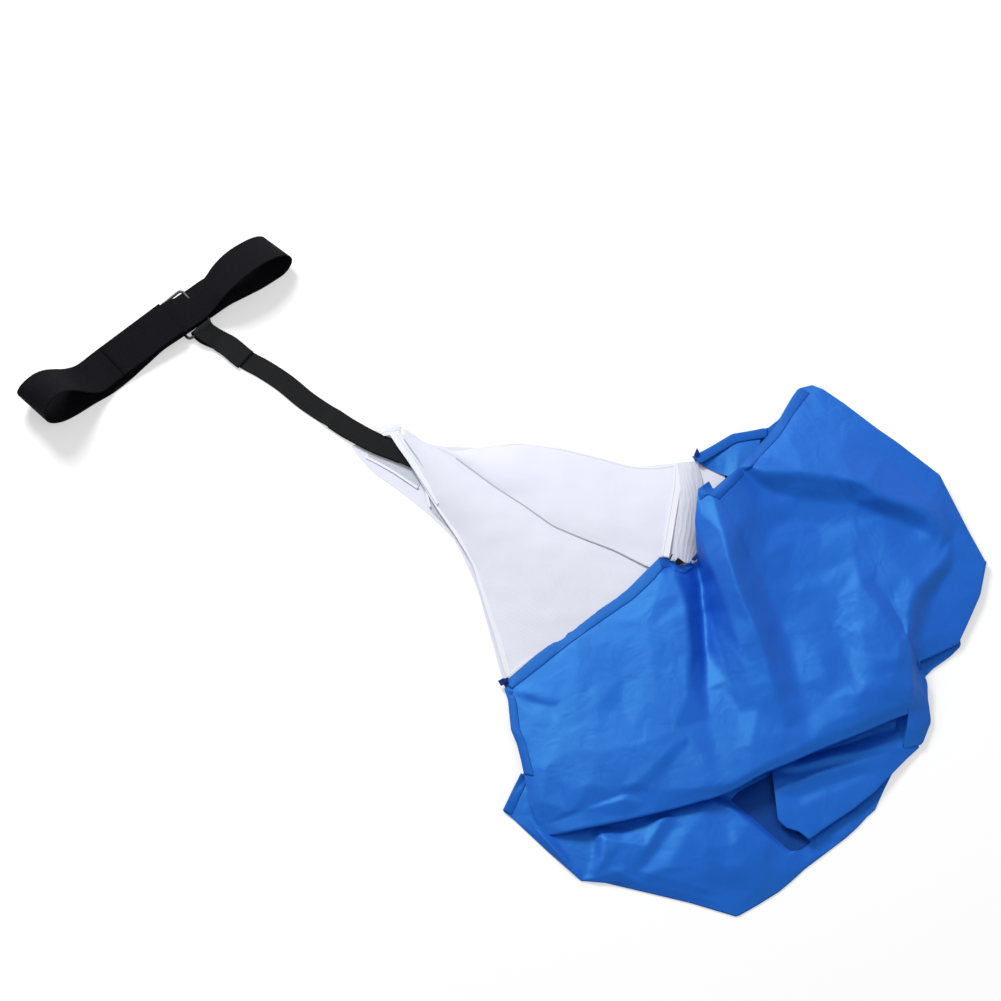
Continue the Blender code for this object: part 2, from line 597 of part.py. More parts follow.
KEY_STEPS = 6
FOLD_KEY = 4
OUTER_KEY = 6
LAST_KEY = 10
LAYER_ROWS = 10
TUCK_ROWS = 5
HEM_LIFT_SHARE = 0.04


def station_places():
    """The stations' places in metres, with the hem corners where the ties hold them."""
    floor = CLOTH_THICKNESS / 2
    hem_floor = CANOPY_HEM_THICKNESS / 2
    held = {
        (0, 0): canopy_left,
        (1, 0): canopy_left.lerp(canopy_front, 1 / 3) + upward * CANOPY_LOFT * HEM_LIFT_SHARE,
        (2, 0): canopy_left.lerp(canopy_front, 2 / 3) + upward * CANOPY_LOFT * HEM_LIFT_SHARE,
        (3, 0): canopy_front,
        (4, LAST_KEY): canopy_under,
        (7, LAST_KEY): canopy_right,
    }
    places = []
    for s, station in enumerate(STATION_SHARES):
        row = []
        for k, shares in enumerate(station):
            if shares is None:
                place = held[s, k].copy()
            else:
                x, y, z = shares
                place = Vector((x * CANOPY_WIDTH, y * CANOPY_DEPTH, z * CANOPY_LOFT + floor))
                place += Vector((canopy_front.x, canopy_front.y, 0.0))
            place.z = max(place.z, hem_floor if k in (0, LAST_KEY) else floor)
            row.append(place)
        places.append(row)
    return places


def canopy_columns():
    """Upper layer, tuck and lower layer of each column of points, for each station and the steps between."""
    lines = [curve_through(line, ACROSS_STEPS) for line in zip(*station_places())]
    fold = FOLD_KEY * KEY_STEPS
    outer = OUTER_KEY * KEY_STEPS
    columns = []
    for marks in zip(*lines):
        fine = curve_through(marks, KEY_STEPS)
        for p in fine:
            p.z = max(p.z, CLOTH_THICKNESS / 2)
        columns.append((fine[: fold + 1], fine[fold : outer + 1], fine[outer:]))
    return columns


def build_canopy():
    """The canopy's folded sheet with its mouth open to the mesh cone, and the hem bands along the mouth."""
    inset = CANOPY_HEM_WIDTH + 3 * GAP
    upper_hem = []
    lower_hem = []
    shape = bmesh.new()
    made = []
    columns = canopy_columns()
    for upper, tuck, lower in columns:
        upper_hem.append([upper[0], spaced_along(upper, CANOPY_HEM_WIDTH, 0.0, 2)[0]])
        lower_hem.append([lower[-1], spaced_along(lower, 0.0, CANOPY_HEM_WIDTH, 2)[1]])
        row = [shape.verts.new(p) for p in spaced_along(upper, inset, 0.0, LAYER_ROWS + 1)]
        if len(upper_hem) < len(columns):
            row += [shape.verts.new(p) for p in spaced_along(tuck, 0.0, 0.0, TUCK_ROWS + 1)[1:-1]]
            row += [shape.verts.new(p) for p in spaced_along(lower, 0.0, inset, LAYER_ROWS + 1)]
        else:
            row += [row[-1]] * (TUCK_ROWS - 1) + row[::-1]
        made.append(row)
    for before, after in zip(made, made[1:]):
        for i in range(len(before) - 1):
            corners = [before[i], before[i + 1], after[i + 1], after[i]]
            distinct = [v for j, v in enumerate(corners) if v is not corners[j - 1]]
            shape.faces.new(distinct)
    bmesh.ops.recalc_face_normals(shape, faces=shape.faces)
    mesh = bpy.data.meshes.new("canopy")
    shape.to_mesh(mesh)
    shape.free()
    mesh.shade_smooth()
    canopy = link_mesh("canopy", mesh, blue_taffeta)
    shell = thicken(canopy, CLOTH_THICKNESS)
    shell.use_even_offset = False
    for p in (p for row in lower_hem for p in row):
        p.z = max(p.z, CANOPY_HEM_THICKNESS / 2)
    sheet_from_rows("canopy_hem_upper", upper_hem, CANOPY_HEM_THICKNESS, blue_taffeta)
    sheet_from_rows("canopy_hem_lower", lower_hem[:-1], CANOPY_HEM_THICKNESS, blue_taffeta)


build_ring()
build_belt()
build_tether()
build_cone()
build_canopy()
build_tie("corner_tie_left", corner_left, canopy_left)
build_tie("corner_tie_front", corner_front, canopy_front)
build_tie("corner_tie_right", corner_right, canopy_right)
build_tie("corner_tie_under", corner_under, canopy_under)
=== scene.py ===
"""Looks of the speed parachute: belt, ring, tether, mesh cone and canopy, lying on a pale floor."""
import math
import random

import bmesh
import bpy
import numpy as np
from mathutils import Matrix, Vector, geometry, noise


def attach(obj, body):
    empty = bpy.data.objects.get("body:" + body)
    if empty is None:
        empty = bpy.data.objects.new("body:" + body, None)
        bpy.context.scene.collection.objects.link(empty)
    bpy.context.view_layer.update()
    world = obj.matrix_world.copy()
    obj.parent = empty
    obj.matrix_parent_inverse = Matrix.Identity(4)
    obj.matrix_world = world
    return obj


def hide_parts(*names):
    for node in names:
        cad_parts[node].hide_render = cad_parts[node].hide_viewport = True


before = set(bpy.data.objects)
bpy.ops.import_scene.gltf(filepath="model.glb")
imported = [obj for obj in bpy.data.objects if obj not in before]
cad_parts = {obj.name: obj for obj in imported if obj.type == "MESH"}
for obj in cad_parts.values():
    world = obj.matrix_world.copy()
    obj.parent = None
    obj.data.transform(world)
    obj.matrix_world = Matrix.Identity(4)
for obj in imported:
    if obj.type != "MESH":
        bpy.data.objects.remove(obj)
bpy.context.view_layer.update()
bpy.ops.object.select_all(action="DESELECT")

# Camera
# The photograph looks down on the object at about 60 degrees. The picture is square, and its middle
# looks at a point of the floor just beside the middle of the object.
PICTURE_SIDE = 1001
PICTURE_MIDDLE = PICTURE_SIDE / 2
CAMERA_LENS = 120.0
CAMERA_SENSOR = 36.0
CAMERA_ELEVATION = math.radians(60)
CAMERA_DISTANCE = 3.83
CAMERA_TARGET = Vector((0.0063, 0.0796, 0.0))
PIXELS_TO_SLOPE = CAMERA_SENSOR / (CAMERA_LENS * PICTURE_SIDE)
camera_right = Vector((1.0, 0.0, 0.0))
camera_up = Vector((0.0, math.sin(CAMERA_ELEVATION), math.cos(CAMERA_ELEVATION)))
camera_forward = Vector((0.0, math.cos(CAMERA_ELEVATION), -math.sin(CAMERA_ELEVATION)))
camera_place = CAMERA_TARGET - camera_forward * CAMERA_DISTANCE
camera_data = bpy.data.cameras.new("photo camera")
camera_data.lens = CAMERA_LENS
camera_data.sensor_width = CAMERA_SENSOR
camera = bpy.data.objects.new("photo camera", camera_data)
camera.location = camera_place
camera.rotation_euler = (math.pi / 2 - CAMERA_ELEVATION, 0.0, 0.0)
bpy.context.scene.collection.objects.link(camera)
bpy.context.scene.camera = camera


def seen(px, py, height_mm):
    """The place that the photograph shows at a pixel, for a height above the floor in millimetres."""
    ray = (
        camera_forward
        + camera_right * (px - PICTURE_MIDDLE) * PIXELS_TO_SLOPE
        - camera_up * (py - PICTURE_MIDDLE) * PIXELS_TO_SLOPE
    )
    return camera_place + ray * ((height_mm / 1000 - camera_place.z) / ray.z)


# Floor, lights and background
# A plain white floor, one large soft lamp high behind the object's left, and a pale surrounding.
# The camera sees floor and background as white, and the floor keeps the object's soft shadow.
FLOOR_SIDE = 24.0
FLOOR_COLOUR = (0.60, 0.60, 0.60, 1.0)
FLOOR_GLOW = 0.49
FLOOR_DROP = 0.0003
WORLD_LIGHT = 0.40
bpy.ops.mesh.primitive_plane_add(size=FLOOR_SIDE, location=(0.0, 0.0, 0.0))
floor = bpy.context.object
floor.name = "studio_floor"
for corner in floor.data.vertices:
    corner.co.z = -FLOOR_DROP


def set_inputs(node, values):
    """Gives inputs of a node their values, or links them where a socket is given."""
    for key, value in values.items():
        if isinstance(value, bpy.types.NodeSocket):
            node.id_data.links.new(value, node.inputs[key])
        else:
            node.inputs[key].default_value = value


def add_node(tree, kind, values, **settings):
    """A new shader node with its settings and the values or links of its inputs."""
    node = tree.nodes.new("ShaderNode" + kind)
    for key, value in settings.items():
        setattr(node, key, value)
    set_inputs(node, values)
    return node


def worked_out(tree, operation, *values):
    """What a Math node works out from values or sockets."""
    return add_node(tree, "Math", dict(enumerate(values)), operation=operation).outputs[0]


def seen_directly(tree):
    """A factor that is 1 for rays from the camera, mirrors and glass, and 0 for light."""
    rays = add_node(tree, "LightPath", {}).outputs
    mirrors = worked_out(tree, "MAXIMUM", rays["Is Glossy Ray"], rays["Is Transmission Ray"])
    return worked_out(tree, "MAXIMUM", rays["Is Camera Ray"], mirrors)


def new_finish(name):
    """A material for a finish, and its node tree."""
    material = bpy.data.materials.new(name)
    material.use_nodes = True
    return material, material.node_tree


WHITE = (1.0, 1.0, 1.0, 1.0)
paint, tree = new_finish("studio white")
set_inputs(tree.nodes["Principled BSDF"], {
    "Base Color": FLOOR_COLOUR, "Roughness": 0.9, "Specular IOR Level": 0.0, "Emission Color": WHITE,
    "Emission Strength": worked_out(tree, "MULTIPLY", seen_directly(tree), FLOOR_GLOW),
})
floor.data.materials.append(paint)

world = bpy.data.worlds.new("studio")
bpy.context.scene.world = world
world.use_nodes = True
strength = add_node(world.node_tree, "MapRange", {
    "Value": seen_directly(world.node_tree), "To Min": WORLD_LIGHT, "To Max": 1.0,
})
set_inputs(world.node_tree.nodes["Background"], {"Color": WHITE, "Strength": strength.outputs["Result"]})

# Each lamp: its place, the side of its square and its power in watts
LAMPS = (
    ("key lamp", (-1.20, 2.25, 2.05), 1.0, 92.0),
    ("fill lamp", (1.8, -1.2, 2.4), 2.0, 8.0),
)
for name, place, lamp_side, power in LAMPS:
    lamp_data = bpy.data.lights.new(name, "AREA")
    lamp_data.shape = "SQUARE"
    lamp_data.size = lamp_side
    lamp_data.energy = power
    lamp = bpy.data.objects.new(name, lamp_data)
    lamp.location = place
    lamp.rotation_euler = (CAMERA_TARGET - Vector(place)).to_track_quat("-Z", "Y").to_euler()
    bpy.context.scene.collection.objects.link(lamp)
bpy.context.scene.view_settings.view_transform = "Standard"

# Waist belt
# One strip of 50 mm black polyester webbing that closes on itself, pressed flat in the middle with
# a raised loop at each end. Its heavy weave shows fine ribs, and its edges are firm selvages.
BELT_PLACE = Vector((-0.3481, 0.3074, 0.0))
BELT_HEADING = math.radians(40)
BELT_NEAR = 0.00635
BELT_WIDTH = 0.050
WEB = 0.0016
BELT_COLOURS = ((0.0032, 0.0032, 0.0045), (0.0125, 0.0125, 0.0160))
along_belt = Vector((math.cos(BELT_HEADING), math.sin(BELT_HEADING), 0.0))
across_belt = Vector((-math.sin(BELT_HEADING), math.cos(BELT_HEADING), 0.0))
upward = Vector((0.0, 0.0, 1.0))


def belongs(piece, body, node=""):
    """Ties a piece to its body, and hides the CAD node that it replaces, if it replaces one."""
    if node:
        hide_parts(node)
    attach(piece, body)


def smooth_line(points, steps):
    """Points of a centripetal Catmull-Rom curve through the given points, so many steps to each span."""
    points = [Vector(p) for p in points]
    ends = [2 * points[0] - points[1], *points, 2 * points[-1] - points[-2]]
    found = []
    for a, b, c, d in zip(ends, ends[1:], ends[2:], ends[3:]):
        k0, k1, k2 = (max((q - p).length, 1e-5) ** 0.5 for p, q in ((a, b), (b, c), (c, d)))
        leave = k1 * ((b - a) / k0 - (c - a) / (k0 + k1) + (c - b) / k1)
        reach = k1 * ((c - b) / k1 - (d - b) / (k1 + k2) + (d - c) / k2)
        for step in range(steps):
            t = step / steps
            ease = t * t * (3 - 2 * t)
            found.append(b * (1 - ease) + c * ease + leave * t * (1 - t) ** 2 - reach * t * t * (1 - t))
    found.append(points[-1])
    return found


def cloth_piece(name, shape, material):
    """An object of one material from a finished shape."""
    mesh = bpy.data.meshes.new(name)
    shape.to_mesh(mesh)
    shape.free()
    mesh.materials.append(material)
    thing = bpy.data.objects.new(name, mesh)
    bpy.context.scene.collection.objects.link(thing)
    return thing


def lying(name, rows, material, thickness=0.0):
    """A sheet from rows of places, with its own lengths as its UV map, given a thickness where it needs one."""
    shape = bmesh.new()
    cloth = shape.loops.layers.uv.new("cloth")
    grid = [[shape.verts.new(place) for place in row] for row in rows]
    deep = [0.0]
    for upper, lower in zip(rows, rows[1:]):
        steps = [(a - b).length for a, b in zip(upper, lower)]
        deep.append(deep[-1] + sum(steps) / len(steps))
    middle = rows[len(rows) // 2]
    wide = [0.0]
    for a, b in zip(middle, middle[1:]):
        wide.append(wide[-1] + (a - b).length)
    for i in range(len(rows) - 1):
        for j in range(len(wide) - 1):
            corners = ((i, j), (i + 1, j), (i + 1, j + 1), (i, j + 1))
            face = shape.faces.new([grid[a][b] for a, b in corners])
            face.smooth = True
            for loop, (a, b) in zip(face.loops, corners):
                loop[cloth].uv = (deep[a], wide[b])
    thing = cloth_piece(name, shape, material)
    if thickness:
        bpy.ops.object.select_all(action="DESELECT")
        bpy.context.view_layer.objects.active = thing
        thing.select_set(True)
        wall = thing.modifiers.new("wall", "SOLIDIFY")
        wall.thickness = thickness
        wall.offset = 0.0
        wall.use_even_offset = False
        bpy.ops.object.modifier_apply(modifier=wall.name)
        thing.select_set(False)
    return thing


# Half of a strap's section, from its selvage to its middle: shares of half its width and half its thickness
SELVAGE = ((-1.0, 0.0), (-0.985, 0.75), (-0.95, 1.05), (-0.88, 0.95), (-0.5, 1.0), (0.0, 1.0))


def strap(name, middle, sides, material, thickness=WEB):
    """A flat strap along a line of places, between half widths to each side, with firm rounded selvages."""
    top = [*SELVAGE, *((-s, t) for s, t in reversed(SELVAGE[:-1]))]
    ring = [*top, *((s, -t) for s, t in reversed(top[1:-1]))]
    shape = bmesh.new()
    cloth = shape.loops.layers.uv.new("cloth")
    loops, travelled = [], [0.0]
    count = len(middle)
    for i, (place, side) in enumerate(zip(middle, sides)):
        ahead = middle[min(i + 1, count - 1)] - middle[max(i - 1, 0)]
        normal = side.cross(ahead).normalized() * -thickness / 2
        loops.append([shape.verts.new(place + side * s + normal * t) for s, t in ring])
        if i:
            travelled.append(travelled[-1] + (place - middle[i - 1]).length)
    turns = len(ring)
    for i in range(count - 1):
        for j in range(turns):
            k = (j + 1) % turns
            face = shape.faces.new((loops[i][j], loops[i][k], loops[i + 1][k], loops[i + 1][j]))
            face.smooth = True
            spots = ((i, j), (i, k), (i + 1, k), (i + 1, j))
            for loop, (a, b) in zip(face.loops, spots):
                loop[cloth].uv = (travelled[a], ring[b][0] * sides[a].length)
    shape.faces.new(reversed(loops[0]))
    shape.faces.new(loops[-1])
    bmesh.ops.recalc_face_normals(shape, faces=shape.faces)
    return cloth_piece(name, shape, material)


def new_pattern(name, given, results):
    """A node group with its inputs and outputs, and the nodes inside that carry them."""
    group = bpy.data.node_groups.new(name, "ShaderNodeTree")
    for sockets, way in ((given, "INPUT"), (results, "OUTPUT")):
        for socket in sockets:
            kind = "NodeSocketVector" if socket == "Vector" else "NodeSocketFloat"
            group.interface.new_socket(name=socket, in_out=way, socket_type=kind)
    return group, group.nodes.new("NodeGroupInput").outputs, group.nodes.new("NodeGroupOutput")


def thread_group():
    """Woven threads on a UV map in metres: a height for the bump and a mask of the gaps between threads."""
    group, given, result = new_pattern("woven threads", ("Vector", "Along", "Across"), ("Height", "Gap"))
    place = add_node(group, "SeparateXYZ", {0: given["Vector"]}).outputs
    waves = []
    for axis, pitch in (("X", "Along"), ("Y", "Across")):
        turns = worked_out(group, "MULTIPLY", place[axis], given[pitch])
        waves.append(worked_out(group, "SINE", worked_out(group, "MULTIPLY", turns, math.tau)))
    crossing = worked_out(group, "MULTIPLY", *waves)
    height = add_node(group, "MapRange", {"Value": crossing, "From Min": -1.0})
    gap = add_node(group, "MapRange", {
        "Value": worked_out(group, "ABSOLUTE", crossing), "From Max": 0.5, "To Min": 1.0, "To Max": 0.0,
    })
    set_inputs(result, {"Height": height.outputs["Result"], "Gap": gap.outputs["Result"]})
    return group


STITCH_HALF_WIDTH = 0.00035
STITCH_SHARE = 0.68


def stitch_group():
    """A row of stitches on the UV map: so far across the cloth, one stitch per pitch along it."""
    group, given, result = new_pattern("stitch row", ("Vector", "Across", "Pitch"), ("Thread",))
    place = add_node(group, "SeparateXYZ", {0: given["Vector"]}).outputs
    beside = worked_out(group, "ABSOLUTE", worked_out(group, "SUBTRACT", place["Y"], given["Across"]))
    near = worked_out(group, "LESS_THAN", beside, STITCH_HALF_WIDTH)
    along = worked_out(group, "FRACT", worked_out(group, "DIVIDE", place["X"], given["Pitch"]))
    stitched = worked_out(group, "LESS_THAN", along, STITCH_SHARE)
    set_inputs(result, {"Thread": worked_out(group, "MULTIPLY", near, stitched)})
    return group


woven_threads = thread_group()
stitch_row = stitch_group()


def cloth_material(
    name, colours, roughness, pitch, depth, uneven_size, uneven_share, gloss=0.3, shine=(1.0, 1.0, 1.0),
    open_share=None, crumple=None, stitches=None,
):
    """Woven cloth: two colours, threads per metre each way, thread depth, and the size of uneven spots.

    Some cloth has a coloured shine, gaps between its threads, creases of a size and depth, or a row of stitches,
    given as its place across the cloth, its pitch and its colour.
    """
    material, tree = new_finish(name)
    spread = add_node(tree, "UVMap", {}, uv_map="cloth").outputs[0]
    places = add_node(tree, "TexCoord", {}).outputs["Object"]
    threads = add_node(
        tree, "Group", {"Vector": spread, "Along": pitch[0], "Across": pitch[1]}, node_tree=woven_threads
    ).outputs
    uneven = add_node(tree, "TexNoise", {"Vector": places, "Scale": 1 / uneven_size, "Detail": 4.0}).outputs["Fac"]
    share = add_node(tree, "Mix", {"Factor": uneven_share, 2: threads["Height"], 3: uneven}, data_type="FLOAT")
    tint = add_node(
        tree, "Mix", {"Factor": share.outputs[0], 6: (*colours[0], 1.0), 7: (*colours[1], 1.0)}, data_type="RGBA"
    )
    dull = add_node(tree, "MapRange", {"Value": uneven, "To Min": roughness[0], "To Max": roughness[1]})
    bump = add_node(tree, "Bump", {"Height": threads["Height"], "Strength": 1.0, "Distance": depth})
    if crumple:
        noises = {"Vector": places, "Scale": 1 / crumple[0], "Detail": 2.0, "Distortion": 0.6}
        creases = add_node(tree, "TexNoise", noises)
        folds = add_node(tree, "Bump", {"Height": creases.outputs["Fac"], "Distance": crumple[1]})
        set_inputs(bump, {"Normal": folds.outputs["Normal"]})
    colour = tint.outputs[2]
    if stitches:
        row = add_node(
            tree, "Group", {"Vector": spread, "Across": stitches[0], "Pitch": stitches[1]}, node_tree=stitch_row
        )
        colour = add_node(
            tree, "Mix", {"Factor": row.outputs["Thread"], 6: colour, 7: (*stitches[2], 1.0)}, data_type="RGBA"
        ).outputs[2]
    shader = tree.nodes["Principled BSDF"]
    set_inputs(shader, {
        "Base Color": colour, "Roughness": dull.outputs["Result"], "Normal": bump.outputs["Normal"],
        "Specular IOR Level": gloss, "Specular Tint": (*shine, 1.0),
    })
    if open_share:
        shares = {"Value": threads["Gap"], "To Min": open_share[0], "To Max": open_share[1]}
        set_inputs(shader, {"Alpha": add_node(tree, "MapRange", shares).outputs["Result"]})
    return material


black_webbing = cloth_material(
    "black webbing", BELT_COLOURS, (0.62, 0.78), (420, 360), 0.00035, 0.012, 0.35, gloss=0.02
)
black_pile = cloth_material(
    "black loop pile", ((0.002, 0.002, 0.003), (0.008, 0.008, 0.010)), (0.85, 0.95), (900, 900), 0.0002, 0.003, 0.7,
    gloss=0.05,
)


def belt_point(along, height, across=0.0):
    """A place on the belt: so far along it from the ring, above the floor, and across from its near edge."""
    return BELT_PLACE + along_belt * along + across_belt * (BELT_NEAR + across) + upward * height


OVERLAP_END = 0.107
RAMP_LOW = 0.0027
RAMP_HIGH = 0.0115
RAMP_RUN = 0.09525
RAMP_ANGLE = math.atan2(RAMP_HIGH - RAMP_LOW, RAMP_RUN)
STACK = 0.0049
BAR_HEIGHT = 0.00585


def on_ramp(along, above):
    """A point over the right-hand band's hidden end, which climbs from the floor to the ring."""
    run, rise = math.cos(RAMP_ANGLE), math.sin(RAMP_ANGLE)
    return -OVERLAP_END + along * run - above * rise, RAMP_LOW + along * rise + above * run


# Places of the strip's two edges: near edge along the belt and up, far edge along and up, how far the
# near edge lies off the straight line towards the viewer, and the far edge too
RIGHT_LOOP = (
    (0.012, 0.0126, 0.012, 0.0090, 0, 0.004), (0.026, 0.0180, 0.025, 0.0085, 0, 0.006),
    (0.046, 0.0320, 0.045, 0.0135, 0, 0.005), (0.065, 0.0390, 0.063, 0.0225, 0, 0.002),
    (0.086, 0.0425, 0.084, 0.0268, 0, 0), (0.108, 0.0412, 0.105, 0.0262, 0, 0),
    (0.126, 0.0350, 0.122, 0.0218, 0, 0), (0.138, 0.0250, 0.134, 0.0140, 0, 0),
    (0.1425, 0.0140, 0.1385, 0.0068, 0.001, 0.001), (0.1385, 0.0048, 0.1350, 0.0022, 0.002, 0.002),
    (0.127, 0.0009, 0.125, 0.0009, 0.004, 0.004), (0.110, 0.0008, 0.109, 0.0008, 0.004, 0.004),
    (0.092, 0.0008, 0.092, 0.0008, 0.003, 0.004), (0.078, 0.0008, 0.078, 0.0008, 0.001, 0.004),
)
LEFT_LOOP = (
    (-0.073, 0.0010, -0.073, 0.0024, 0.001, 0.002), (-0.100, 0.0008, -0.098, 0.0010, 0.005, 0.003),
    (-0.129, 0.0008, -0.126, 0.0008, 0.007, 0.005), (-0.155, 0.0008, -0.153, 0.0008, 0.005, 0.003),
    (-0.178, 0.0008, -0.179, 0.0012, 0.004, 0.001), (-0.196, 0.0022, -0.201, 0.0045, 0.002, 0),
    (-0.2085, 0.0085, -0.2145, 0.0120, 0, 0), (-0.2155, 0.0200, -0.2205, 0.0210, 0, 0),
    (-0.2170, 0.0330, -0.2215, 0.0300, 0, 0), (-0.2130, 0.0470, -0.2160, 0.0372, 0, 0),
    (-0.2035, 0.0560, -0.2065, 0.0412, 0, 0), (-0.1920, 0.0572, -0.1960, 0.0420, 0, 0),
    (-0.1800, 0.0505, -0.1840, 0.0375, 0, 0), (-0.1680, 0.0385, -0.1720, 0.0290, 0.001, 0.001),
    (-0.1550, 0.0235, -0.1580, 0.0180, 0.003, 0.003), (-0.1420, 0.0125, -0.1440, 0.0115, 0.004, 0.004),
    (-0.1300, 0.0092, -0.1310, 0.0090, 0.0025, 0.0025),
)


def straight(points):
    """The same place along and up for both edges."""
    return [(x, z, x, z, 0.0, 0.0) for x, z in points]


hidden_end = straight(on_ramp(RAMP_RUN * share, 0.0) for share in (0.03, 0.35, 0.7, 1.0))
lower_band = straight((x, BAR_HEIGHT) for x in (0.04875, 0.0244, 0.0, -0.0244, -0.04875))
tongue_root = straight(on_ramp(-back, STACK) for back in (0.0108, 0.0054, 0.00005))
edge_rows = [*hidden_end, *RIGHT_LOOP, *lower_band, *LEFT_LOOP, *tongue_root]
BELT_STEPS = 8
near_line = smooth_line([(x, z, off) for x, z, _, _, off, _ in edge_rows], BELT_STEPS)
far_line = smooth_line([(x, z, off) for _, _, x, z, _, off in edge_rows], BELT_STEPS)
near_edge = [belt_point(p.x, max(p.y, WEB / 2), -p.z) for p in near_line]
far_edge = [belt_point(p.x, max(p.y, WEB / 2), BELT_WIDTH - p.z) for p in far_line]
belt_middle = [(a + b) / 2 for a, b in zip(near_edge, far_edge)]
belt_sides = [(b - a) / 2 for a, b in zip(near_edge, far_edge)]
belt_band = strap("belt_band", belt_middle, belt_sides, black_webbing)
belongs(belt_band, "belt", "belt_webbing")

# Belt closure
# The free end is a 90 mm tongue of the same webbing. Hook tape sewn under it grips the soft loop pile
# on the band below. Both tapes are a little narrower than the webbing.
TONGUE_START = 0.00015
TONGUE_END = 0.090
PATCH_START = 0.003
PATCH = 0.0012
PATCH_MARGIN = 0.0015
LAYER_GAP = 0.0003
BAND_STEPS = 14


def on_band(name, start, above, width, thickness, material):
    """A strap laid on the ramp, from start to the tongue's end, its middle so far above the band's middle."""
    line = [on_ramp(start + (TONGUE_END - start) * i / BAND_STEPS, above) for i in range(BAND_STEPS + 1)]
    middle = [belt_point(x, z, BELT_WIDTH / 2) for x, z in line]
    return strap(name, middle, [across_belt * width / 2] * (BAND_STEPS + 1), material, thickness)


patch_width = BELT_WIDTH - 2 * PATCH_MARGIN
pile_height = WEB / 2 + LAYER_GAP + PATCH / 2
belt_pile = on_band("belt_pile", PATCH_START, pile_height, patch_width, PATCH, black_pile)
belongs(belt_pile, "belt", "belt_loop_strip")
hook_height = pile_height + PATCH + LAYER_GAP
black_hook = cloth_material(
    "black hook tape", ((0.002, 0.002, 0.003), (0.020, 0.020, 0.024)), (0.35, 0.5), (650, 650), 0.0006, 0.004, 0.2,
    gloss=0.3,
)
belt_hook = on_band("belt_hook", PATCH_START, hook_height, patch_width, PATCH, black_hook)
belongs(belt_hook, "tongue", "belt_hook_strip")
belt_tongue_web = on_band("belt_tongue_web", TONGUE_START, STACK, BELT_WIDTH, WEB, black_webbing)
belongs(belt_tongue_web, "tongue", "belt_tongue")

# Ring
# A rounded rectangle of 3.5 mm dark plated steel wire. The belt runs through it, and its near bar
# sits in the tether's sewn eye.
WIRE = 0.0035
RING_PITCH = 0.0335
RING_LENGTH = 0.0591
RING_CORNER = 0.005
RING_PLAY = 0.0006
RING_TILT = math.asin((WEB + WIRE + RING_PLAY) / RING_PITCH)
bpy.ops.object.select_all(action="DESELECT")
bpy.ops.mesh.primitive_plane_add(size=1.0, location=(0.0, 0.0, 0.0))
ring_wire = bpy.context.object
ring_wire.name = "ring_wire"
for corner in ring_wire.data.vertices:
    corner.co.x *= RING_PITCH
    corner.co.y = (corner.co.y + 0.5) * RING_LENGTH
bpy.ops.object.mode_set(mode="EDIT")
bpy.ops.mesh.select_all(action="SELECT")
bpy.ops.mesh.bevel(offset=RING_CORNER, segments=10, affect="VERTICES")
bpy.ops.mesh.delete(type="ONLY_FACE")
bpy.ops.object.mode_set(mode="OBJECT")
bpy.ops.object.convert(target="CURVE")
ring_wire.data.bevel_depth = WIRE / 2
ring_wire.data.bevel_resolution = 6
bpy.ops.object.convert(target="MESH")
ring_wire = bpy.context.object
ring_wire.name = "ring_wire"
ring_wire.rotation_euler = (0.0, -RING_TILT, BELT_HEADING)
ring_wire.location = BELT_PLACE + upward * BAR_HEIGHT
bpy.ops.object.transform_apply(location=True, rotation=True, scale=True)
bpy.ops.object.shade_smooth()
bpy.ops.object.select_all(action="DESELECT")
RING_COLOUR = (0.065, 0.065, 0.070, 1.0)
ring_metal, tree = new_finish("dark plated steel")
places = add_node(tree, "TexCoord", {}).outputs["Object"]
rubbed = add_node(tree, "TexNoise", {"Vector": places, "Scale": 260.0, "Detail": 6.0}).outputs["Fac"]
dull = add_node(tree, "MapRange", {"Value": rubbed, "To Min": 0.32, "To Max": 0.50}).outputs["Result"]
set_inputs(tree.nodes["Principled BSDF"], {"Base Color": RING_COLOUR, "Metallic": 1.0, "Roughness": dull})
ring_wire.data.materials.clear()
ring_wire.data.materials.append(ring_metal)
belongs(ring_wire, "ring", "belt_ring")

# Tether
# 26 mm black webbing. One end folds back on itself through the ring and is sewn down, the other is
# doubled and sewn across the neck of the mesh cone.
TETHER_WIDTH = 0.026
tether_webbing = cloth_material(
    "tether webbing", ((0.006, 0.0065, 0.0075), (0.021, 0.0225, 0.025)), (0.62, 0.78), (420, 360), 0.00035, 0.012,
    0.35, gloss=0.04,
)
EYE_PLAY = 0.0025
EYE_RADIUS = WIRE / 2 + EYE_PLAY
EYE_ALONG = 0.0028
TAB_WIDER = 0.10
TETHER_STEPS = 5
# The strap's middle from the ring to the cone, as pixels
TETHER_MIDDLE = (
    (227, 344), (246, 359), (262.5, 368), (284, 382), (306, 400), (327.5, 414.5), (351, 430), (376, 443.5),
    (400, 453), (424, 463),
)
eye_middle = BELT_PLACE + along_belt * EYE_ALONG
tether_places = [eye_middle, eye_middle + (along_belt * 0.12 - across_belt) * 0.007]
for px, py in TETHER_MIDDLE:
    place = seen(px, py, 2.2)
    tether_places.append(Vector((place.x, place.y, 0.0)))
tether_route = smooth_line(tether_places, 12)
route_lengths = [0.0]
for a, b in zip(tether_route, tether_route[1:]):
    route_lengths.append(route_lengths[-1] + (b - a).length)


def tether_spot(distance):
    """The tether's middle so far from the ring's bar, and half its width square to its line."""
    k = min(max(1, sum(1 for length in route_lengths if length < distance)), len(route_lengths) - 1)
    a, b = tether_route[k - 1], tether_route[k]
    span = route_lengths[k] - route_lengths[k - 1]
    ahead = (b - a).normalized()
    place = a + ahead * (distance - route_lengths[k - 1]) if span else a.copy()
    return place, Vector((-ahead.y, ahead.x, 0.0)) * TETHER_WIDTH / 2


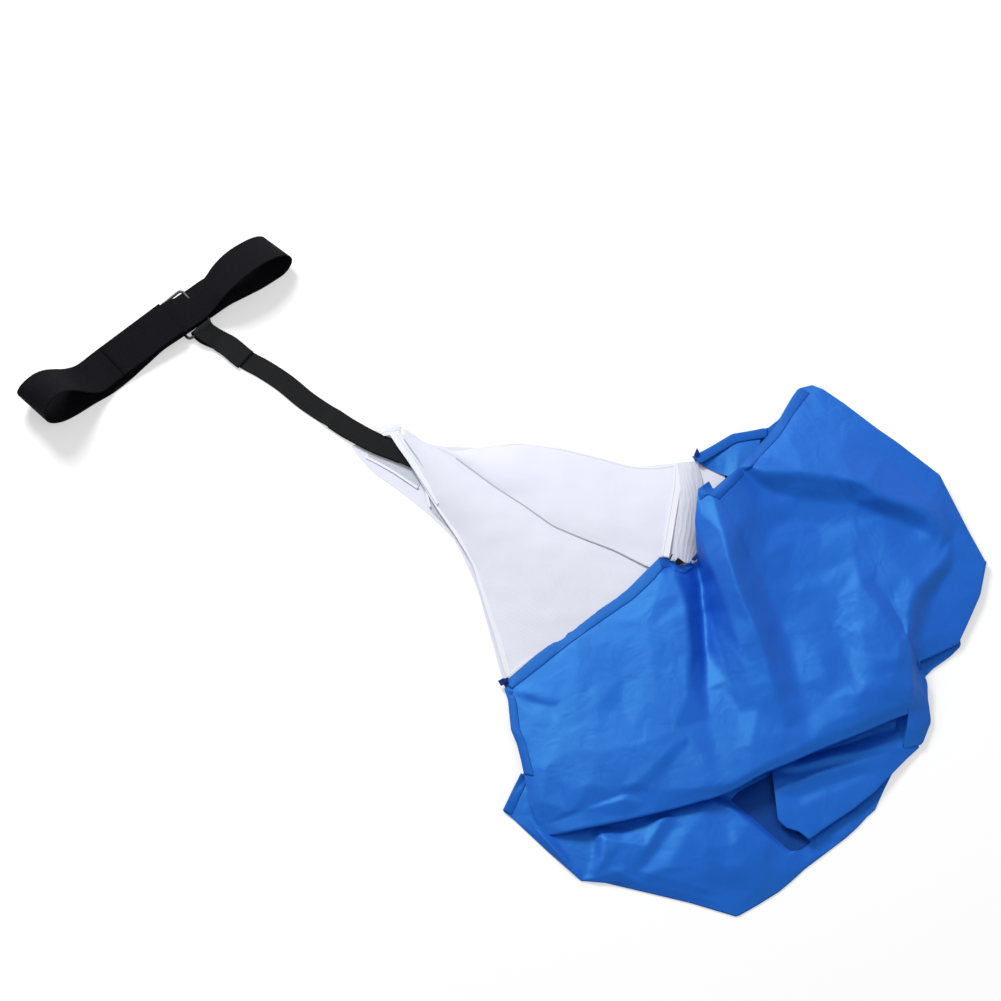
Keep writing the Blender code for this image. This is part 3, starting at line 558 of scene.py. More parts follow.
def tether_strip(name, stations, tab_end=0):
    """A strip of the tether through stations of distance and height in mm, its sewn tab a little wider."""
    smooth = smooth_line([(d / 1000, z / 1000, 0.0) for d, z in stations], TETHER_STEPS)
    middle, sides = [], []
    for k, p in enumerate(smooth):
        place, side = tether_spot(p.x)
        wider = TAB_WIDER * min(1.0, max(0.0, (tab_end - k) / TETHER_STEPS))
        middle.append(place - side * wider + upward * max(p.y, WEB / 2))
        sides.append(side * (1 + wider))
    return strap(name, middle, sides, tether_webbing)


eye_centre = (EYE_RADIUS + WEB / 2) * 1000
eye_angles = [math.radians(90 + 15 * step) for step in range(13)]
eye = [(eye_centre * math.cos(angle), BAR_HEIGHT * 1000 + eye_centre * math.sin(angle)) for angle in eye_angles]
tether_web = tether_strip("tether_web", [
    (67, 2.7), (54, 2.7), (40, 2.7), (25, 3.0), (12.5, 6.8), *eye, (24, 0.8), (60, 0.8), (100, 0.8), (140, 0.8),
    (172, 0.8), (188, 0.8), (200, 3.0), (210, 3.0), (222, 3.3), (232, 3.7), (250, 3.9), (275, 4.0), (300, 4.0),
    (314, 3.8),
], tab_end=18)
belongs(tether_web, "chute", "tether_webbing")
tether_under = tether_strip("tether_under", [
    (201.6, 0.8), (212, 0.8), (222, 0.9), (232, 1.7), (250, 2.1), (280, 2.1), (296, 2.1),
])
belongs(tether_under, "chute", "tether_backing")

# Mesh cone
# Four tapered panels of fine white nylon net, sewn at their sides into a cone whose neck takes the
# tether. Two lie on top, a little loose, and two lie flat on the floor below them.
white_net = cloth_material(
    "white net", ((0.77, 0.79, 0.92), (0.86, 0.875, 0.985)), (0.55, 0.7), (620, 620), 0.00012, 0.05, 0.7,
    open_share=(1.0, 0.88), gloss=0.25,
)
white_binding = cloth_material(
    "white binding", ((0.84, 0.86, 0.95), (0.91, 0.92, 0.98)), (0.6, 0.75), (900, 900), 0.0001, 0.03, 0.6, gloss=0.25,
    stitches=(0.0022, 0.0032, (0.50, 0.52, 0.58)),
)


def drawn(points, count, ease=0):
    """Even stations along a line of pixels and heights, its corners eased so many times."""
    line = np.array(points, float)
    lengths = np.concatenate([[0.0], np.cumsum(np.hypot(*np.diff(line[:, :2], axis=0).T))])
    wanted = np.linspace(0.0, lengths[-1], count)
    found = np.stack([np.interp(wanted, lengths, line[:, k]) for k in range(3)], axis=1)
    for _ in range(ease):
        found[1:-1] = (found[:-2] + 2 * found[1:-1] + found[2:]) / 4
    return found


NET_ROWS = 56
NET_COLUMNS = 44
# How many waves and fine ripples the loose net has per metre, and how high the ripples are against the waves
NET_WAVES = 16
NET_RIPPLES = 45
RIPPLE_SHARE = 0.35
NET_FLOOR = 0.4
LOFT_RUN = 0.85


def net_panel(name, left, right, loft=0.0, ripple=0.0, seed=0.0, bases=None):
    """A net panel between two seams, from the neck to its base, lofted in its middle and faintly rippled."""
    a, b = drawn(left, NET_ROWS + 1, 3), drawn(right, NET_ROWS + 1, 3)
    base = drawn(bases, NET_COLUMNS + 1, 1) if bases is not None else None
    rows = []
    for i in range(NET_ROWS + 1):
        t, row = i / NET_ROWS, []
        for j in range(NET_COLUMNS + 1):
            s = j / NET_COLUMNS
            spot = a[i] * (1 - s) + b[i] * s
            if base is not None:
                spot = spot + (base[j] - (a[-1] * (1 - s) + b[-1] * s)) * t ** 3
            swell = math.sin(math.pi * s) * math.sin(math.pi * (t * LOFT_RUN))
            px, py, height = spot
            height += loft * swell
            x, y, _ = seen(px, py, height)
            wave = noise.noise(Vector((x * NET_WAVES, y * NET_WAVES, seed)))
            fine = noise.noise(Vector((x * NET_RIPPLES, y * NET_RIPPLES, seed + 5)))
            height += ripple * (wave + RIPPLE_SHARE * fine) * min(1.0, swell * 4)
            row.append(seen(px, py, max(NET_FLOOR, height)))
        rows.append(row)
    return lying(name, rows, white_net)


# The seams and the base of the cone, as pixels and heights in mm
LEFT_SEAM = (
    (391, 433, 5.5), (401, 450, 5.5), (413, 470, 5.0), (424, 488, 4.5), (436, 508, 4.0), (456, 537, 3.5),
    (473, 565, 3.0), (485, 606, 2.6), (495, 637, 2.4), (507, 679, 2.2),
)
FRONT_SEAM = (
    (402, 431, 6.5), (427, 444, 9.0), (456, 458, 12.0), (495, 487, 15.0), (522, 504, 17.0), (553, 526, 19.0),
    (582, 538, 20.5), (614, 550, 21.5), (648, 567, 22.0), (664, 572, 21.0),
)
RIGHT_SEAM = (
    (400, 426, 6.0), (422, 441, 5.0), (456, 452, 4.0), (485, 446, 3.0), (515, 442, 2.5), (558, 447, 2.2),
    (595, 456, 2.0), (631, 466, 1.8), (655, 467, 1.8), (680, 463, 1.8),
)
FRONT_BASE = (
    (507, 683, 1.6), (536, 660, 6.5), (567, 637, 10.5), (597, 615, 14.5), (628, 594, 17.5), (664, 572, 19.5),
)
UPPER_BASE = ((664, 572, 21.0), (668, 540, 18.0), (673, 510, 13.0), (677, 485, 7.0), (680, 463, 1.8))
net_front = net_panel("net_front", LEFT_SEAM, FRONT_SEAM, loft=7.0, ripple=1.6, seed=1.0, bases=FRONT_BASE)
net_upper = net_panel("net_upper", FRONT_SEAM, RIGHT_SEAM, loft=6.0, ripple=1.6, seed=2.0, bases=UPPER_BASE)
UNDER_LEFT = (
    (351, 446, 0.4), (360, 458, 0.4), (372, 472, 0.4), (390, 484, 0.4), (406, 496, 0.4), (430, 515, 0.4),
    (456, 541, 0.4), (478, 590, 0.4), (503, 682, 0.4),
)
UNDER_MIDDLE = ((384, 437, 0.4), (440, 470, 0.4), (520, 520, 0.4), (600, 565, 0.4), (661, 600, 0.4))
UNDER_RIGHT = (
    (384, 424, 0.4), (399, 424, 0.4), (430, 446, 0.4), (485, 448, 0.4), (558, 450, 0.4), (631, 468, 0.4),
    (694, 462, 0.4),
)
net_lower = net_panel("net_lower", UNDER_LEFT, UNDER_MIDDLE)
BACK_BASE = (
    (661, 600, 1.0), (684, 590, 2.0), (700, 560, 3.0), (712, 520, 3.5), (726, 488, 3.5), (724, 466, 2.0),
    (699, 461, 1.0),
)
net_back = net_panel("net_back", UNDER_MIDDLE, UNDER_RIGHT, bases=BACK_BASE)
# Grey net: painted shade, for the tether's shadow seen through the net by the neck and the shadow beside the folded
# hem
painted_shade_net = cloth_material(
    "net painted shade", ((0.50, 0.54, 0.62), (0.60, 0.64, 0.72)), (0.6, 0.7), (620, 620), 0.00012, 0.02, 0.7, gloss=0.2
)
gathered_net = cloth_material(
    "gathered net", ((0.68, 0.71, 0.83), (0.84, 0.86, 0.97)), (0.35, 0.5), (1100, 1100), 0.00015, 0.012, 0.8,
    open_share=(0.97, 0.8), gloss=0.5,
)


# Pleats and finer pleats across a piece of loose net, and how much they drift along it
PLEATS = 7.5
FINE_PLEATS = 13.0
FINE_PLEAT_SHARE = 0.6
PLEAT_DRIFT = 1.4
FINE_PLEAT_DRIFT = 2.0
PLEAT_FADE = 6
PATCH_FLOOR = 0.3


def patch(name, left, right, material, steps, pleats=0.0, rise=0.0):
    """A small piece of cloth between two lines of pixels and heights, pleated lengthwise and raised between them."""
    a, b = drawn(left, steps[0] + 1, 1), drawn(right, steps[0] + 1, 1)
    rows = []
    for i in range(steps[0] + 1):
        row = []
        for j in range(steps[1] + 1):
            s = j / steps[1]
            px, py, height = a[i] * (1 - s) + b[i] * s
            drift = noise.noise(Vector((i * 0.09, s * 2.0, 4.0)))
            fold = math.sin((s * PLEATS + drift * PLEAT_DRIFT) * math.tau)
            fold += FINE_PLEAT_SHARE * math.sin((s * FINE_PLEATS - drift * FINE_PLEAT_DRIFT) * math.tau)
            height += pleats * fold * min(1.0, s * PLEAT_FADE, (1 - s) * PLEAT_FADE) + rise * math.sin(math.pi * s)
            row.append(seen(px, py, max(PATCH_FLOOR, height)))
        rows.append(row)
    return lying(name, rows, material)


net_gather = patch(
    "net_gather", ((676, 463, 4.5), (676, 485, 10), (674, 510, 15), (670, 535, 19), (667, 560, 20)),
    ((697, 461, 4), (702, 480, 6), (704, 500, 8), (706, 530, 9), (696, 564, 10)), gathered_net, (40, 36),
    pleats=0.16, rise=3.0,
)
# Painted shade on the net: a grey patch for the tether's shadow, and a grey sliver for the shadow by the folded hem
neck_shade = patch(
    "neck_shade", ((368, 453, 0.8), (390, 464, 0.8), (413, 471, 0.9), (421, 481, 1.0)),
    ((368, 457, 0.9), (390, 470, 0.9), (405, 480, 1.0), (418, 488, 1.1)), painted_shade_net, (20, 6),
)
neck_fold_shadow = patch(
    "neck_fold_shadow", ((422, 482, 1.6), (441, 505, 1.8), (455, 530, 1.5)),
    ((425, 490, 1.2), (432, 512, 1.2), (455, 534, 1.2)), painted_shade_net, (20, 6),
)
neck_tip = patch(
    "neck_tip", ((370, 426, 4), (385, 424, 5), (393, 423.5, 6.5), (400, 424, 7)),
    ((384, 436, 7), (390, 435, 8), (396, 434, 8), (401, 432, 7.5)), white_net, (16, 24), pleats=0.15, rise=0.6,
)
for extra in (net_gather, neck_shade, neck_fold_shadow, neck_tip):
    belongs(extra, "chute")
for net, node in (
    (net_front, "mesh_panel_front"), (net_upper, "mesh_panel_upper"), (net_lower, "mesh_panel_lower"),
    (net_back, "mesh_panel_back"),
):
    belongs(net, "chute", node)

# Bindings of the cone
# Narrow white polyester tape lies over the side seams, round the base and across the neck, and a row
# of stitching holds it. The front seam shows only a thin grey line, partly its thread and partly painted
# shade along its fold, and a grey line across the neck is painted shade in a slit.
METRES_PER_PIXEL = 0.00115
TAPE = 0.0008
THIN_TAPE = 0.0004
# Thickness of the thin grey strips for the front seam and for the painted shade in the neck's slit
GREY_LINE_THICKNESS = 0.0003
TAPE_STATIONS = 60


def binding(name, middle, width_px, lift, thickness=TAPE, material=white_binding):
    """A tape along a line of pixels and heights, as wide as so many pixels and lifted so many millimetres."""
    places = [seen(px, py, height + lift) for px, py, height in drawn(middle, TAPE_STATIONS, 2)]
    half = []
    for before, after in zip([places[0], *places[:-1]], [*places[1:], places[-1]]):
        half.append(upward.cross(after - before).normalized() * width_px * METRES_PER_PIXEL / 2)
    return strap(name, places, half, material, thickness)


def shifted(points, dx, dy):
    """The same line, moved across the picture by so many pixels."""
    return [(px + dx, py + dy, height) for px, py, height in points]


NECK_BAND = (
    (394, 433, 7.5), (402, 445.5, 7.5), (412.5, 460, 7.5), (420, 471, 7.0), (430, 486, 6.5), (441, 503, 5.5),
)
NECK_SLIT = (
    (404, 439, 8.5), (408.6, 446, 8.7), (414.6, 454, 9.0), (419, 460, 9.0), (423.7, 467, 9.0), (427.5, 473, 8.6),
)
NECK_HEM = ((366, 457, 1.0), (380, 464, 1.2), (394, 472, 1.4), (406, 480, 1.6), (418, 488, 1.6))
NECK_CORNER = ((421, 481, 2.5), (425, 487, 2.8), (430, 507, 2.5))
UPPER_TAPE = ((665, 557, 21.5), (668.5, 537, 19.5), (673, 510, 15), (677, 485, 9), (678, 463, 3.2))
LOWER_TAPE = ((503, 684, 0.4), (560, 655, 0.4), (661, 602, 0.4))
BACK_TAPE = ((664, 597, 0.4), (676, 530, 0.4), (694, 465, 0.4))
# A grey strip: the front seam's thread with painted shade along its fold, and painted shade in the neck's slit
seam_thread_and_shade = cloth_material(
    "grey seam thread and painted shade", ((0.44, 0.45, 0.52), (0.54, 0.55, 0.62)), (0.7, 0.8), (900, 900), 0.0002, 0.006, 0.5
)
tapes = (
    (binding("tape_left", shifted(LEFT_SEAM, 3.5, -2.0), 8, 0.9), "seam_tape_left"),
    (binding("tape_front", FRONT_SEAM[2:-1], 1.2, 0.2, GREY_LINE_THICKNESS, seam_thread_and_shade), "seam_tape_front"),
    (binding("tape_right", shifted(RIGHT_SEAM, 0.0, 4.0), 7, 0.9), "seam_tape_right"),
    (binding("tape_under", UNDER_MIDDLE, 7, 0.5), "seam_tape_under"),
    (binding("tape_base_front", shifted(FRONT_BASE, -2.0, -1.0), 9, 0.9), "hem_tape_front"),
    (binding("tape_base_upper", UPPER_TAPE, 8, 1.4), "hem_tape_upper"),
    (binding("tape_base_lower", LOWER_TAPE, 9, 0.5), "hem_tape_lower"),
    (binding("tape_base_back", BACK_TAPE, 9, 0.5), "hem_tape_back"),
    (binding("tape_neck_upper", NECK_BAND, 9.5, 0.8), "neck_tape_upper"),
    (binding("tape_neck_lower", NECK_HEM, 2.6, 0.15, THIN_TAPE), "neck_tape_lower"),
    # Painted shade: a grey line where the slit across the neck lies dark
    (binding("neck_slit_shadow", NECK_SLIT, 1.3, 0.5, GREY_LINE_THICKNESS, seam_thread_and_shade), ""),
    (binding("neck_corner_fold", NECK_CORNER, 2.2, 0.6, THIN_TAPE), ""),
)
for tape, node in tapes:
    belongs(tape, "chute", node)

# Canopy
# One large sheet of thin, glossy blue nylon taffeta, which lies folded over on itself: the top layer
# runs from the open mouth to a rolled fold, goes under, comes out as the back layer and returns below.
TAFFETA_COLOURS = ((0.005, 0.069, 0.49), (0.009, 0.094, 0.61))
TAFFETA_SHINE = (0.14, 0.80, 1.0)
blue_taffeta = cloth_material(
    "blue taffeta", TAFFETA_COLOURS, (0.46, 0.56), (1400, 1400), 0.00004, 0.06, 0.75, gloss=1.0, shine=TAFFETA_SHINE,
    crumple=(0.030, 0.0013),
)
# A darker copy of the taffeta, which is painted shade for the dark hollow of the notch below the fold
taffeta_painted_shade = cloth_material(
    "blue taffeta painted shade", ((0.003, 0.026, 0.22), (0.005, 0.036, 0.29)), (0.55, 0.65), (1400, 1400), 0.00004, 0.06,
    0.75, gloss=0.5, shine=TAFFETA_SHINE, crumple=(0.030, 0.0016),
)
# Each station: mouth, fold, tuck under the fold and outer edge, as pixels and heights in mm, and the
# lower hem's pixels on the floor
STATIONS = (
    ((504, 684, 3), (546, 835, 3), (528, 776, 2.5), (503, 811, 1.2), (524, 772)),
    ((520, 670, 6), (563, 831, 9), (545, 795, 3), (515, 821, 0.9), (545, 745)),
    ((536, 655, 9), (581, 827, 13.5), (575, 803, 4), (548, 852, 0.9), (565, 725)),
    ((567, 632, 13), (625, 818, 17.5), (620, 794, 6), (581, 881, 0.9), (590, 700)),
    ((597, 610, 17), (655, 811, 19.5), (650, 787, 7), (605, 883, 0.9), (615, 675)),
    ((628, 589, 20), (683, 804, 21), (680, 778, 8), (648, 893, 0.9), (640, 645)),
    ((646, 571, 21), (700, 799, 23), (700, 772, 8), (690, 903, 0.9), (655, 625)),
    ((660, 557, 22), (712, 796, 24), (712, 770, 8), (737, 917, 0.9), (668, 605)),
    ((674, 563, 17), (731, 789, 26), (729, 764, 8), (758, 905, 0.9), (685, 590)),
    ((686, 566, 12), (744, 782, 27), (742, 758, 8), (779, 892, 0.9), (698, 577)),
    ((698, 561, 13), (756, 775, 27.5), (753, 752, 7), (792, 881, 0.9), (708, 562)),
    ((696, 543, 27), (766, 770, 28), (765, 746, 6), (805, 869, 0.9), (716, 545)),
    ((695, 520, 37), (778, 765, 28), (776, 741, 6), (825, 854, 0.9), (722, 520)),
    ((697, 500, 42), (795, 758, 28.5), (793, 734, 7), (846, 838, 0.9), (728, 497)),
    ((698, 489, 43), (813, 750, 28.5), (812, 726, 8), (857, 828, 0.9), (729, 476)),
    ((709, 481, 43), (840, 739, 28), (838, 714, 8), (867, 817, 0.9), (706, 468)),
    ((713, 490, 41), (865, 729, 26), (860, 704, 8), (875, 810, 0.9), (692.5, 456.5)),
    ((726, 478, 36), (890, 718, 23), (880, 694, 8), (884, 790, 0.9), (712, 446)),
    ((740, 467, 31), (909, 711, 20), (893, 688, 8), (894, 770, 0.9), (732, 434)),
    ((752, 455, 27), (906, 730, 14), (892, 702, 6), (903, 760, 0.9), (750, 431)),
    ((762, 443, 24), (903, 747, 9), (893, 716, 5), (912, 751, 0.9), (768, 428)),
    ((773, 430, 20), (922, 742, 6), (905, 716, 3.5), (923, 742, 0.9), (778, 420)),
    ((780, 418, 17), (930, 720, 6.5), (912, 705, 3.5), (930, 720, 0.9), (785, 412)),
    ((786, 407, 14.5), (928, 704, 9), (910, 690, 3.5), (928, 700, 0.9), (790, 406)),
    ((792, 397, 12.5), (924, 680, 11), (908, 675, 3.5), (925, 677, 0.9), (794, 400)),
    ((797, 390, 11), (918, 660, 11), (906, 655, 3.5), (933, 669, 1.5), (798, 396)),
    ((800, 388, 10.5), (938, 651, 9), (925, 640, 3.5), (950, 657, 1.5), (801, 393)),
    ((804, 387, 10.3), (957, 642, 7), (940, 630, 3.5), (961, 646, 1.5), (804, 392)),
    ((806, 386.5, 10.2), (960, 636, 7.5), (945, 622, 3.5), (960, 638, 0.9), (806, 391)),
    ((808, 386, 10.1), (969, 616, 8), (950, 604, 3.5), (969, 617, 0.9), (808, 390)),
    ((810, 385.5, 10), (979, 593, 8.5), (960, 584, 3.5), (979, 594, 0.9), (810, 390)),
    ((812, 385, 10), (985, 561, 8.5), (966, 558, 3.5), (985, 562, 0.9), (812, 389)),
)
LEFT_EDGE = (
    (504, 684, 3), (508, 696, 4), (511, 730, 6), (517, 744, 6.5), (521, 760, 7), (524, 775, 7), (530, 805, 6),
    (537, 822, 5), (546, 835, 3),
)
RIGHT_EDGE = (
    (812, 385, 10), (823, 389, 12), (845, 404, 15), (878, 429, 17), (897, 442, 17), (940, 475, 14), (946, 487, 13),
    (969, 532, 10), (985, 561, 8.5),
)
# Crests, valleys and steps of the top layer, each as a line of pixels and heights in mm
TOP_CREASES = (
    ((577, 640, 19), (577, 672, 20), (577, 705, 20)),
    ((618, 645, 23), (623, 675, 22), (622, 705, 22)),
    ((663, 575, 25), (655, 600, 28), (650, 630, 29), (655, 700, 28)),
    ((676, 574, 25), (683, 592, 28.5), (688, 611, 31), (691, 650, 32), (689, 690, 31), (676, 728, 29)),
    ((676, 728, 29), (691, 737, 29), (705, 754, 29), (712, 775, 29)),
    ((688, 569, 15), (692, 590, 17), (695, 611, 18), (698, 650, 21)),
    ((698, 565, 6), (701, 582, 3), (703, 611, 4), (705, 650, 10), (705, 690, 19.5), (708, 720, 25)),
    ((722, 688, 23), (738, 712, 26)),
    ((701, 545, 36), (709, 563, 39), (718, 582, 41), (729, 611, 40), (740, 650, 39), (750, 688, 36), (757, 710, 33)),
    ((713, 496, 47), (723, 532, 55), (729, 556, 56), (736, 580, 55), (745, 604, 53), (755, 625, 51), (764, 650, 47),
     (773, 680, 43), (781, 706, 38.5), (789, 731, 34)),
    ((742, 520, 40), (752, 560, 34), (766, 590, 29), (780, 625, 25), (789, 650, 25), (797, 685, 28)),
    ((786, 731, 34), (806, 715, 29.5), (829, 698, 29.5), (848, 684, 31)),
    ((750, 466, 36), (766, 471, 38), (802, 472, 38), (830, 476, 37), (856, 481, 37), (867, 484, 37), (883, 497, 35),
     (919, 509, 30.5), (930, 518, 27), (944, 535, 20)),
    ((758, 486, 24), (776, 494, 21), (800, 500, 20), (850, 502, 20), (884, 516, 17), (915, 528, 15)),
    ((760, 512, 27), (790, 520, 17.5), (818, 526, 16), (850, 520, 17)),
    ((752, 535, 34), (768, 533, 24), (793, 540, 22.5), (818, 552, 22), (856, 528, 20)),
    ((790, 572, 23), (818, 574, 22), (856, 556, 22.5), (887, 551, 21.5), (939, 550, 16)),
    ((800, 412, 17), (818, 418, 18.5), (850, 430, 19.5), (884, 454, 19), (915, 480, 18)),
    ((947, 557, 18), (935, 570, 23), (917, 590, 29), (911, 612, 31), (907, 640, 31), (912, 652, 29), (913, 688, 28),
     (911, 704, 23)),
    ((953, 566, 12), (941, 582, 13), (927, 600, 15), (921, 624, 16), (918, 644, 16)),
    ((860, 584, 30), (880, 609, 33), (900, 640, 32)),
    ((874, 583, 25.5), (890, 602, 25.5), (904, 626, 27)),
    ((836, 622, 25), (846, 645, 25.5), (852, 668, 28), (858, 684, 31)),
    ((814, 636, 26.5), (819, 652, 30), (827, 676, 32.5), (838, 696, 33)),
    ((858, 634, 33), (866, 655, 34), (870, 678, 34)),
    ((546, 824, 6), (583, 810, 15.5), (625, 795, 20.5), (660, 791, 24), (703, 787, 28), (731, 784, 29.5),
     (751, 772, 30.5), (776, 759, 31.5), (813, 741, 33), (865, 719, 31.5), (902, 704, 26)),
    ((637, 783, 26.5), (664, 756, 29), (676, 744, 28.5)),
    ((646, 786, 25), (673, 761, 26.5), (685, 747, 27)),
    ((625, 797, 24), (645, 804, 20)),
    ((512, 689, 6.5), (519, 693, 9), (548, 699, 14.5), (562, 700, 16.5)),
    ((513, 694, 5), (530, 703, 8.5), (554, 708, 13.5)),
    ((514, 700, 7), (532, 713, 12), (552, 722, 15.5)),
    ((518, 688, 7), (540, 680, 11.5), (560, 672, 15)),
    ((526, 740, 11), (531, 764, 12), (540, 800, 12)),
    ((545, 768, 17), (560, 790, 15), (568, 812, 14)),
    ((552, 762, 18), (568, 790, 18), (575, 806, 17)),
)
# Heights of single spots between these lines
TOP_SPOTS = (
    (880, 660, 35.5), (884, 688, 35), (856, 712, 34), (898, 660, 35), (838, 598, 25.5), (812, 604, 24),
    (862, 692, 36), (822, 727, 33.5), (790, 745, 32), (750, 745, 32), (840, 455, 30), (790, 440, 28), (800, 455, 33),
    (955, 530, 12), (955, 600, 12), (935, 635, 14), (600, 750, 25), (640, 745, 28), (560, 740, 18), (600, 700, 23),
    (640, 620, 27), (605, 645, 21.5), (590, 785, 22), (560, 720, 17), (702, 515, 44), (700, 765, 29), (735, 750, 30),
    (730, 480, 38), (870, 540, 20), (905, 540, 17), (920, 690, 17), (918, 730, 13), (921, 665, 17),
)
# Crests, valleys and steps of the back layer, which comes out from under the fold
BACK_CREASES = (
    ((522, 773, 5), (512, 792, 3), (503, 811, 1.5)),
    ((532, 790, 6), (530, 815, 5), (540, 838, 4)),
    ((540, 834, 7), (558, 854, 7), (576, 876, 3.5)),
    ((549, 832, 2.5), (567, 852, 2.5), (582, 869, 2)),
    ((592, 815, 3), (593, 835, 3), (593, 855, 3), (588, 872, 2)),
    ((598, 826, 3), (620, 827, 4), (645, 821, 8), (668, 814, 10)),
    ((604, 838, 12), (603, 858, 11), (594, 878, 4)),
    ((630, 866, 9), (648, 846, 14), (664, 818, 15)),
    ((638, 871, 7.5), (657, 850, 9), (674, 826, 12)),
    ((676, 817, 13), (690, 829, 16), (708, 848, 16), (719, 866, 12), (726, 888, 6)),
    ((700, 888, 8), (716, 893, 4), (726, 909, 2)),
    ((712, 800, 13), (731, 808, 15), (750, 822, 15), (770, 839, 12), (789, 854, 6)),
    ((718, 796, 6), (735, 803, 2), (754, 817, 1.4), (774, 835, 1.2), (792, 850, 1.2)),
    ((800, 848, 2.5), (826, 832, 2.5), (852, 816, 2.5)),
    ((800, 800, 1.2),), ((840, 780, 1.2),), ((880, 760, 1.2),), ((775, 800, 1.2),), ((770, 780, 3),),
    ((762, 864, 11), (762, 885, 7)), ((770, 860, 7.5), (774, 882, 4)),
    ((585, 882, 2), (640, 884, 4.5), (690, 895, 4.5), (735, 908, 3)),
    ((620, 872, 9),), ((650, 874, 9.5),), ((700, 873, 11),), ((738, 868, 13),), ((738, 842, 16),), ((622, 842, 12),),
    ((790, 872, 4.5),), ((815, 858, 3),), ((845, 836, 2.5),), ((700, 818, 15),), ((668, 868, 12),), ((752, 893, 5),),
)
# The pocket panel, which hangs out from under the fold over the back layer: its upper and lower edge
POCKET_TOP = (
    (771, 764, 8), (792, 752, 8), (820, 740, 8), (850, 727, 7.5), (880, 714, 7), (903, 702, 6),
)
POCKET_EDGE = (
    (778, 819, 12.5), (786, 827, 12), (799, 831, 11.5), (809, 839, 10.5), (827, 826, 9.5), (854, 808, 8.5),
    (874, 792, 8), (895, 770, 6), (908, 757, 5), (919, 747, 4),
)
POCKET_CREASES = (
    ((775, 772, 9), (776, 795, 13), (778, 819, 13)),
    ((800, 756, 3.5), (830, 746, 3), (862, 737, 3), (890, 731, 3.5), (904, 726, 5)),
    ((792, 766, 11), (830, 757, 13.5), (860, 753, 12.5), (900, 750, 9)),
    ((796, 773, 8), (830, 765, 9), (866, 757, 8.5), (896, 751, 7.5)),
    ((796, 784, 12.5), (820, 774, 13.5), (850, 765, 12), (892, 753, 8.5)),
    ((800, 797, 9), (826, 787, 9), (856, 776, 8)),
    ((795, 808, 12.5), (820, 798, 11), (850, 786, 9.5), (880, 772, 8)),
    ((808, 824, 12),), ((838, 803, 10),), ((893, 738, 7),), ((912, 735, 6),),
)
SPOTS_AT_ONCE = 2000


def reader(corners, heights, triangles):
    """A function that reads heights off flat triangles between pixels."""
    a, b, c = (corners[triangles[:, k]] for k in range(3))
    za, zb, zc = (heights[triangles[:, k]] for k in range(3))
    det = (b[:, 1] - c[:, 1]) * (a[:, 0] - c[:, 0]) + (c[:, 0] - b[:, 0]) * (a[:, 1] - c[:, 1])

    def read(spots):
        found = np.empty(len(spots))
        for start in range(0, len(spots), SPOTS_AT_ONCE):
            part = spots[start:start + SPOTS_AT_ONCE]
            dx, dy = part[:, 0, None] - c[None, :, 0], part[:, 1, None] - c[None, :, 1]
            u = ((b[:, 1] - c[:, 1]) * dx + (c[:, 0] - b[:, 0]) * dy) / det
            v = ((c[:, 1] - a[:, 1]) * dx + (a[:, 0] - c[:, 0]) * dy) / det
            w = 1 - u - v
            best = np.argmax(np.minimum(np.minimum(u, v), w), axis=1)
            rows = np.arange(len(part))
            shares = np.clip(np.stack([u[rows, best], v[rows, best], w[rows, best]]), 0, None)
            shares /= shares.sum(axis=0)
            found[start:start + len(part)] = shares[0] * za[best] + shares[1] * zb[best] + shares[2] * zc[best]
        return found

    return read


# How far a random facet's corner strays from its grid, how rough the calm part is against the rest, and
# how far around a corner the plain heights are averaged, as shares of the spacing
STRAY = 0.45
CALM_SHARE = 0.3
AVERAGE_REACH = 0.6


def relief(lines, seed, spacing, rough, clear, calm=0):
    """Heights over pixels: flat facets between crease lines, with smaller random facets between them.

    The random facets keep clear of the lines, and are calmer to the left of a column of pixels.
    """

    def facets(points, edges):
        flat = [Vector(p[:2]) for p in points]
        verts, _, faces, origins, _, _ = geometry.delaunay_2d_cdt(flat, edges, [], 0, 0.01)
        corners = np.array([tuple(v) for v in verts])
        heights = np.zeros(len(verts))
        for k, found in enumerate(origins):
            if found:
                heights[k] = points[found[0]][2]
            else:
                near = sorted(points, key=lambda p: (p[0] - corners[k][0]) ** 2 + (p[1] - corners[k][1]) ** 2)[:2]
                heights[k] = (near[0][2] + near[1][2]) / 2
        return reader(corners, heights, np.array([tuple(f) for f in faces]))

    points, edges = [], []
    for line in lines:
        for k, point in enumerate(line):
            points.append(tuple(point))
            if k:
                edges.append((len(points) - 2, len(points) - 1))
    plain = facets(points, edges)
    draws = random.Random(seed)
    fixed = np.array([p[:2] for p in points])
    low, high = fixed.min(axis=0), fixed.max(axis=0)
    extra = []
    y = low[1]
    while y < high[1]:
        x = low[0]
        while x < high[0]:
            spot = (x + draws.uniform(-STRAY, STRAY) * spacing, y + draws.uniform(-STRAY, STRAY) * spacing)
            lift = draws.uniform(-rough, rough) * (CALM_SHARE if spot[0] < calm else 1.0)
            reach = min(math.hypot(spot[0] - p[0], spot[1] - p[1]) for p in fixed)
            for i, j in edges:
                along, away = fixed[j] - fixed[i], spot - fixed[i]
                t = min(1.0, max(0.0, (away @ along) / max(along @ along, 1e-9)))
                reach = min(reach, math.hypot(*(away - along * t)))
            if reach > clear:
                extra.append((*spot, lift))
            x += spacing
        y += spacing
    around = [(0, 0), *((math.cos(k * math.pi / 4), math.sin(k * math.pi / 4)) for k in range(8))]
    away = AVERAGE_REACH * spacing
    spots = np.array([(x + dx * away, y + dy * away) for x, y, _ in extra for dx, dy in around])
    soft = plain(spots).reshape(len(extra), len(around)).mean(axis=1)
    more = [(x, y, height + lift) for height, (x, y, lift) in zip(soft, extra)]
    return facets([*points, *more], edges)


def station_line(k):
    """One of the lines through all stations."""
    return [station[k] for station in STATIONS]


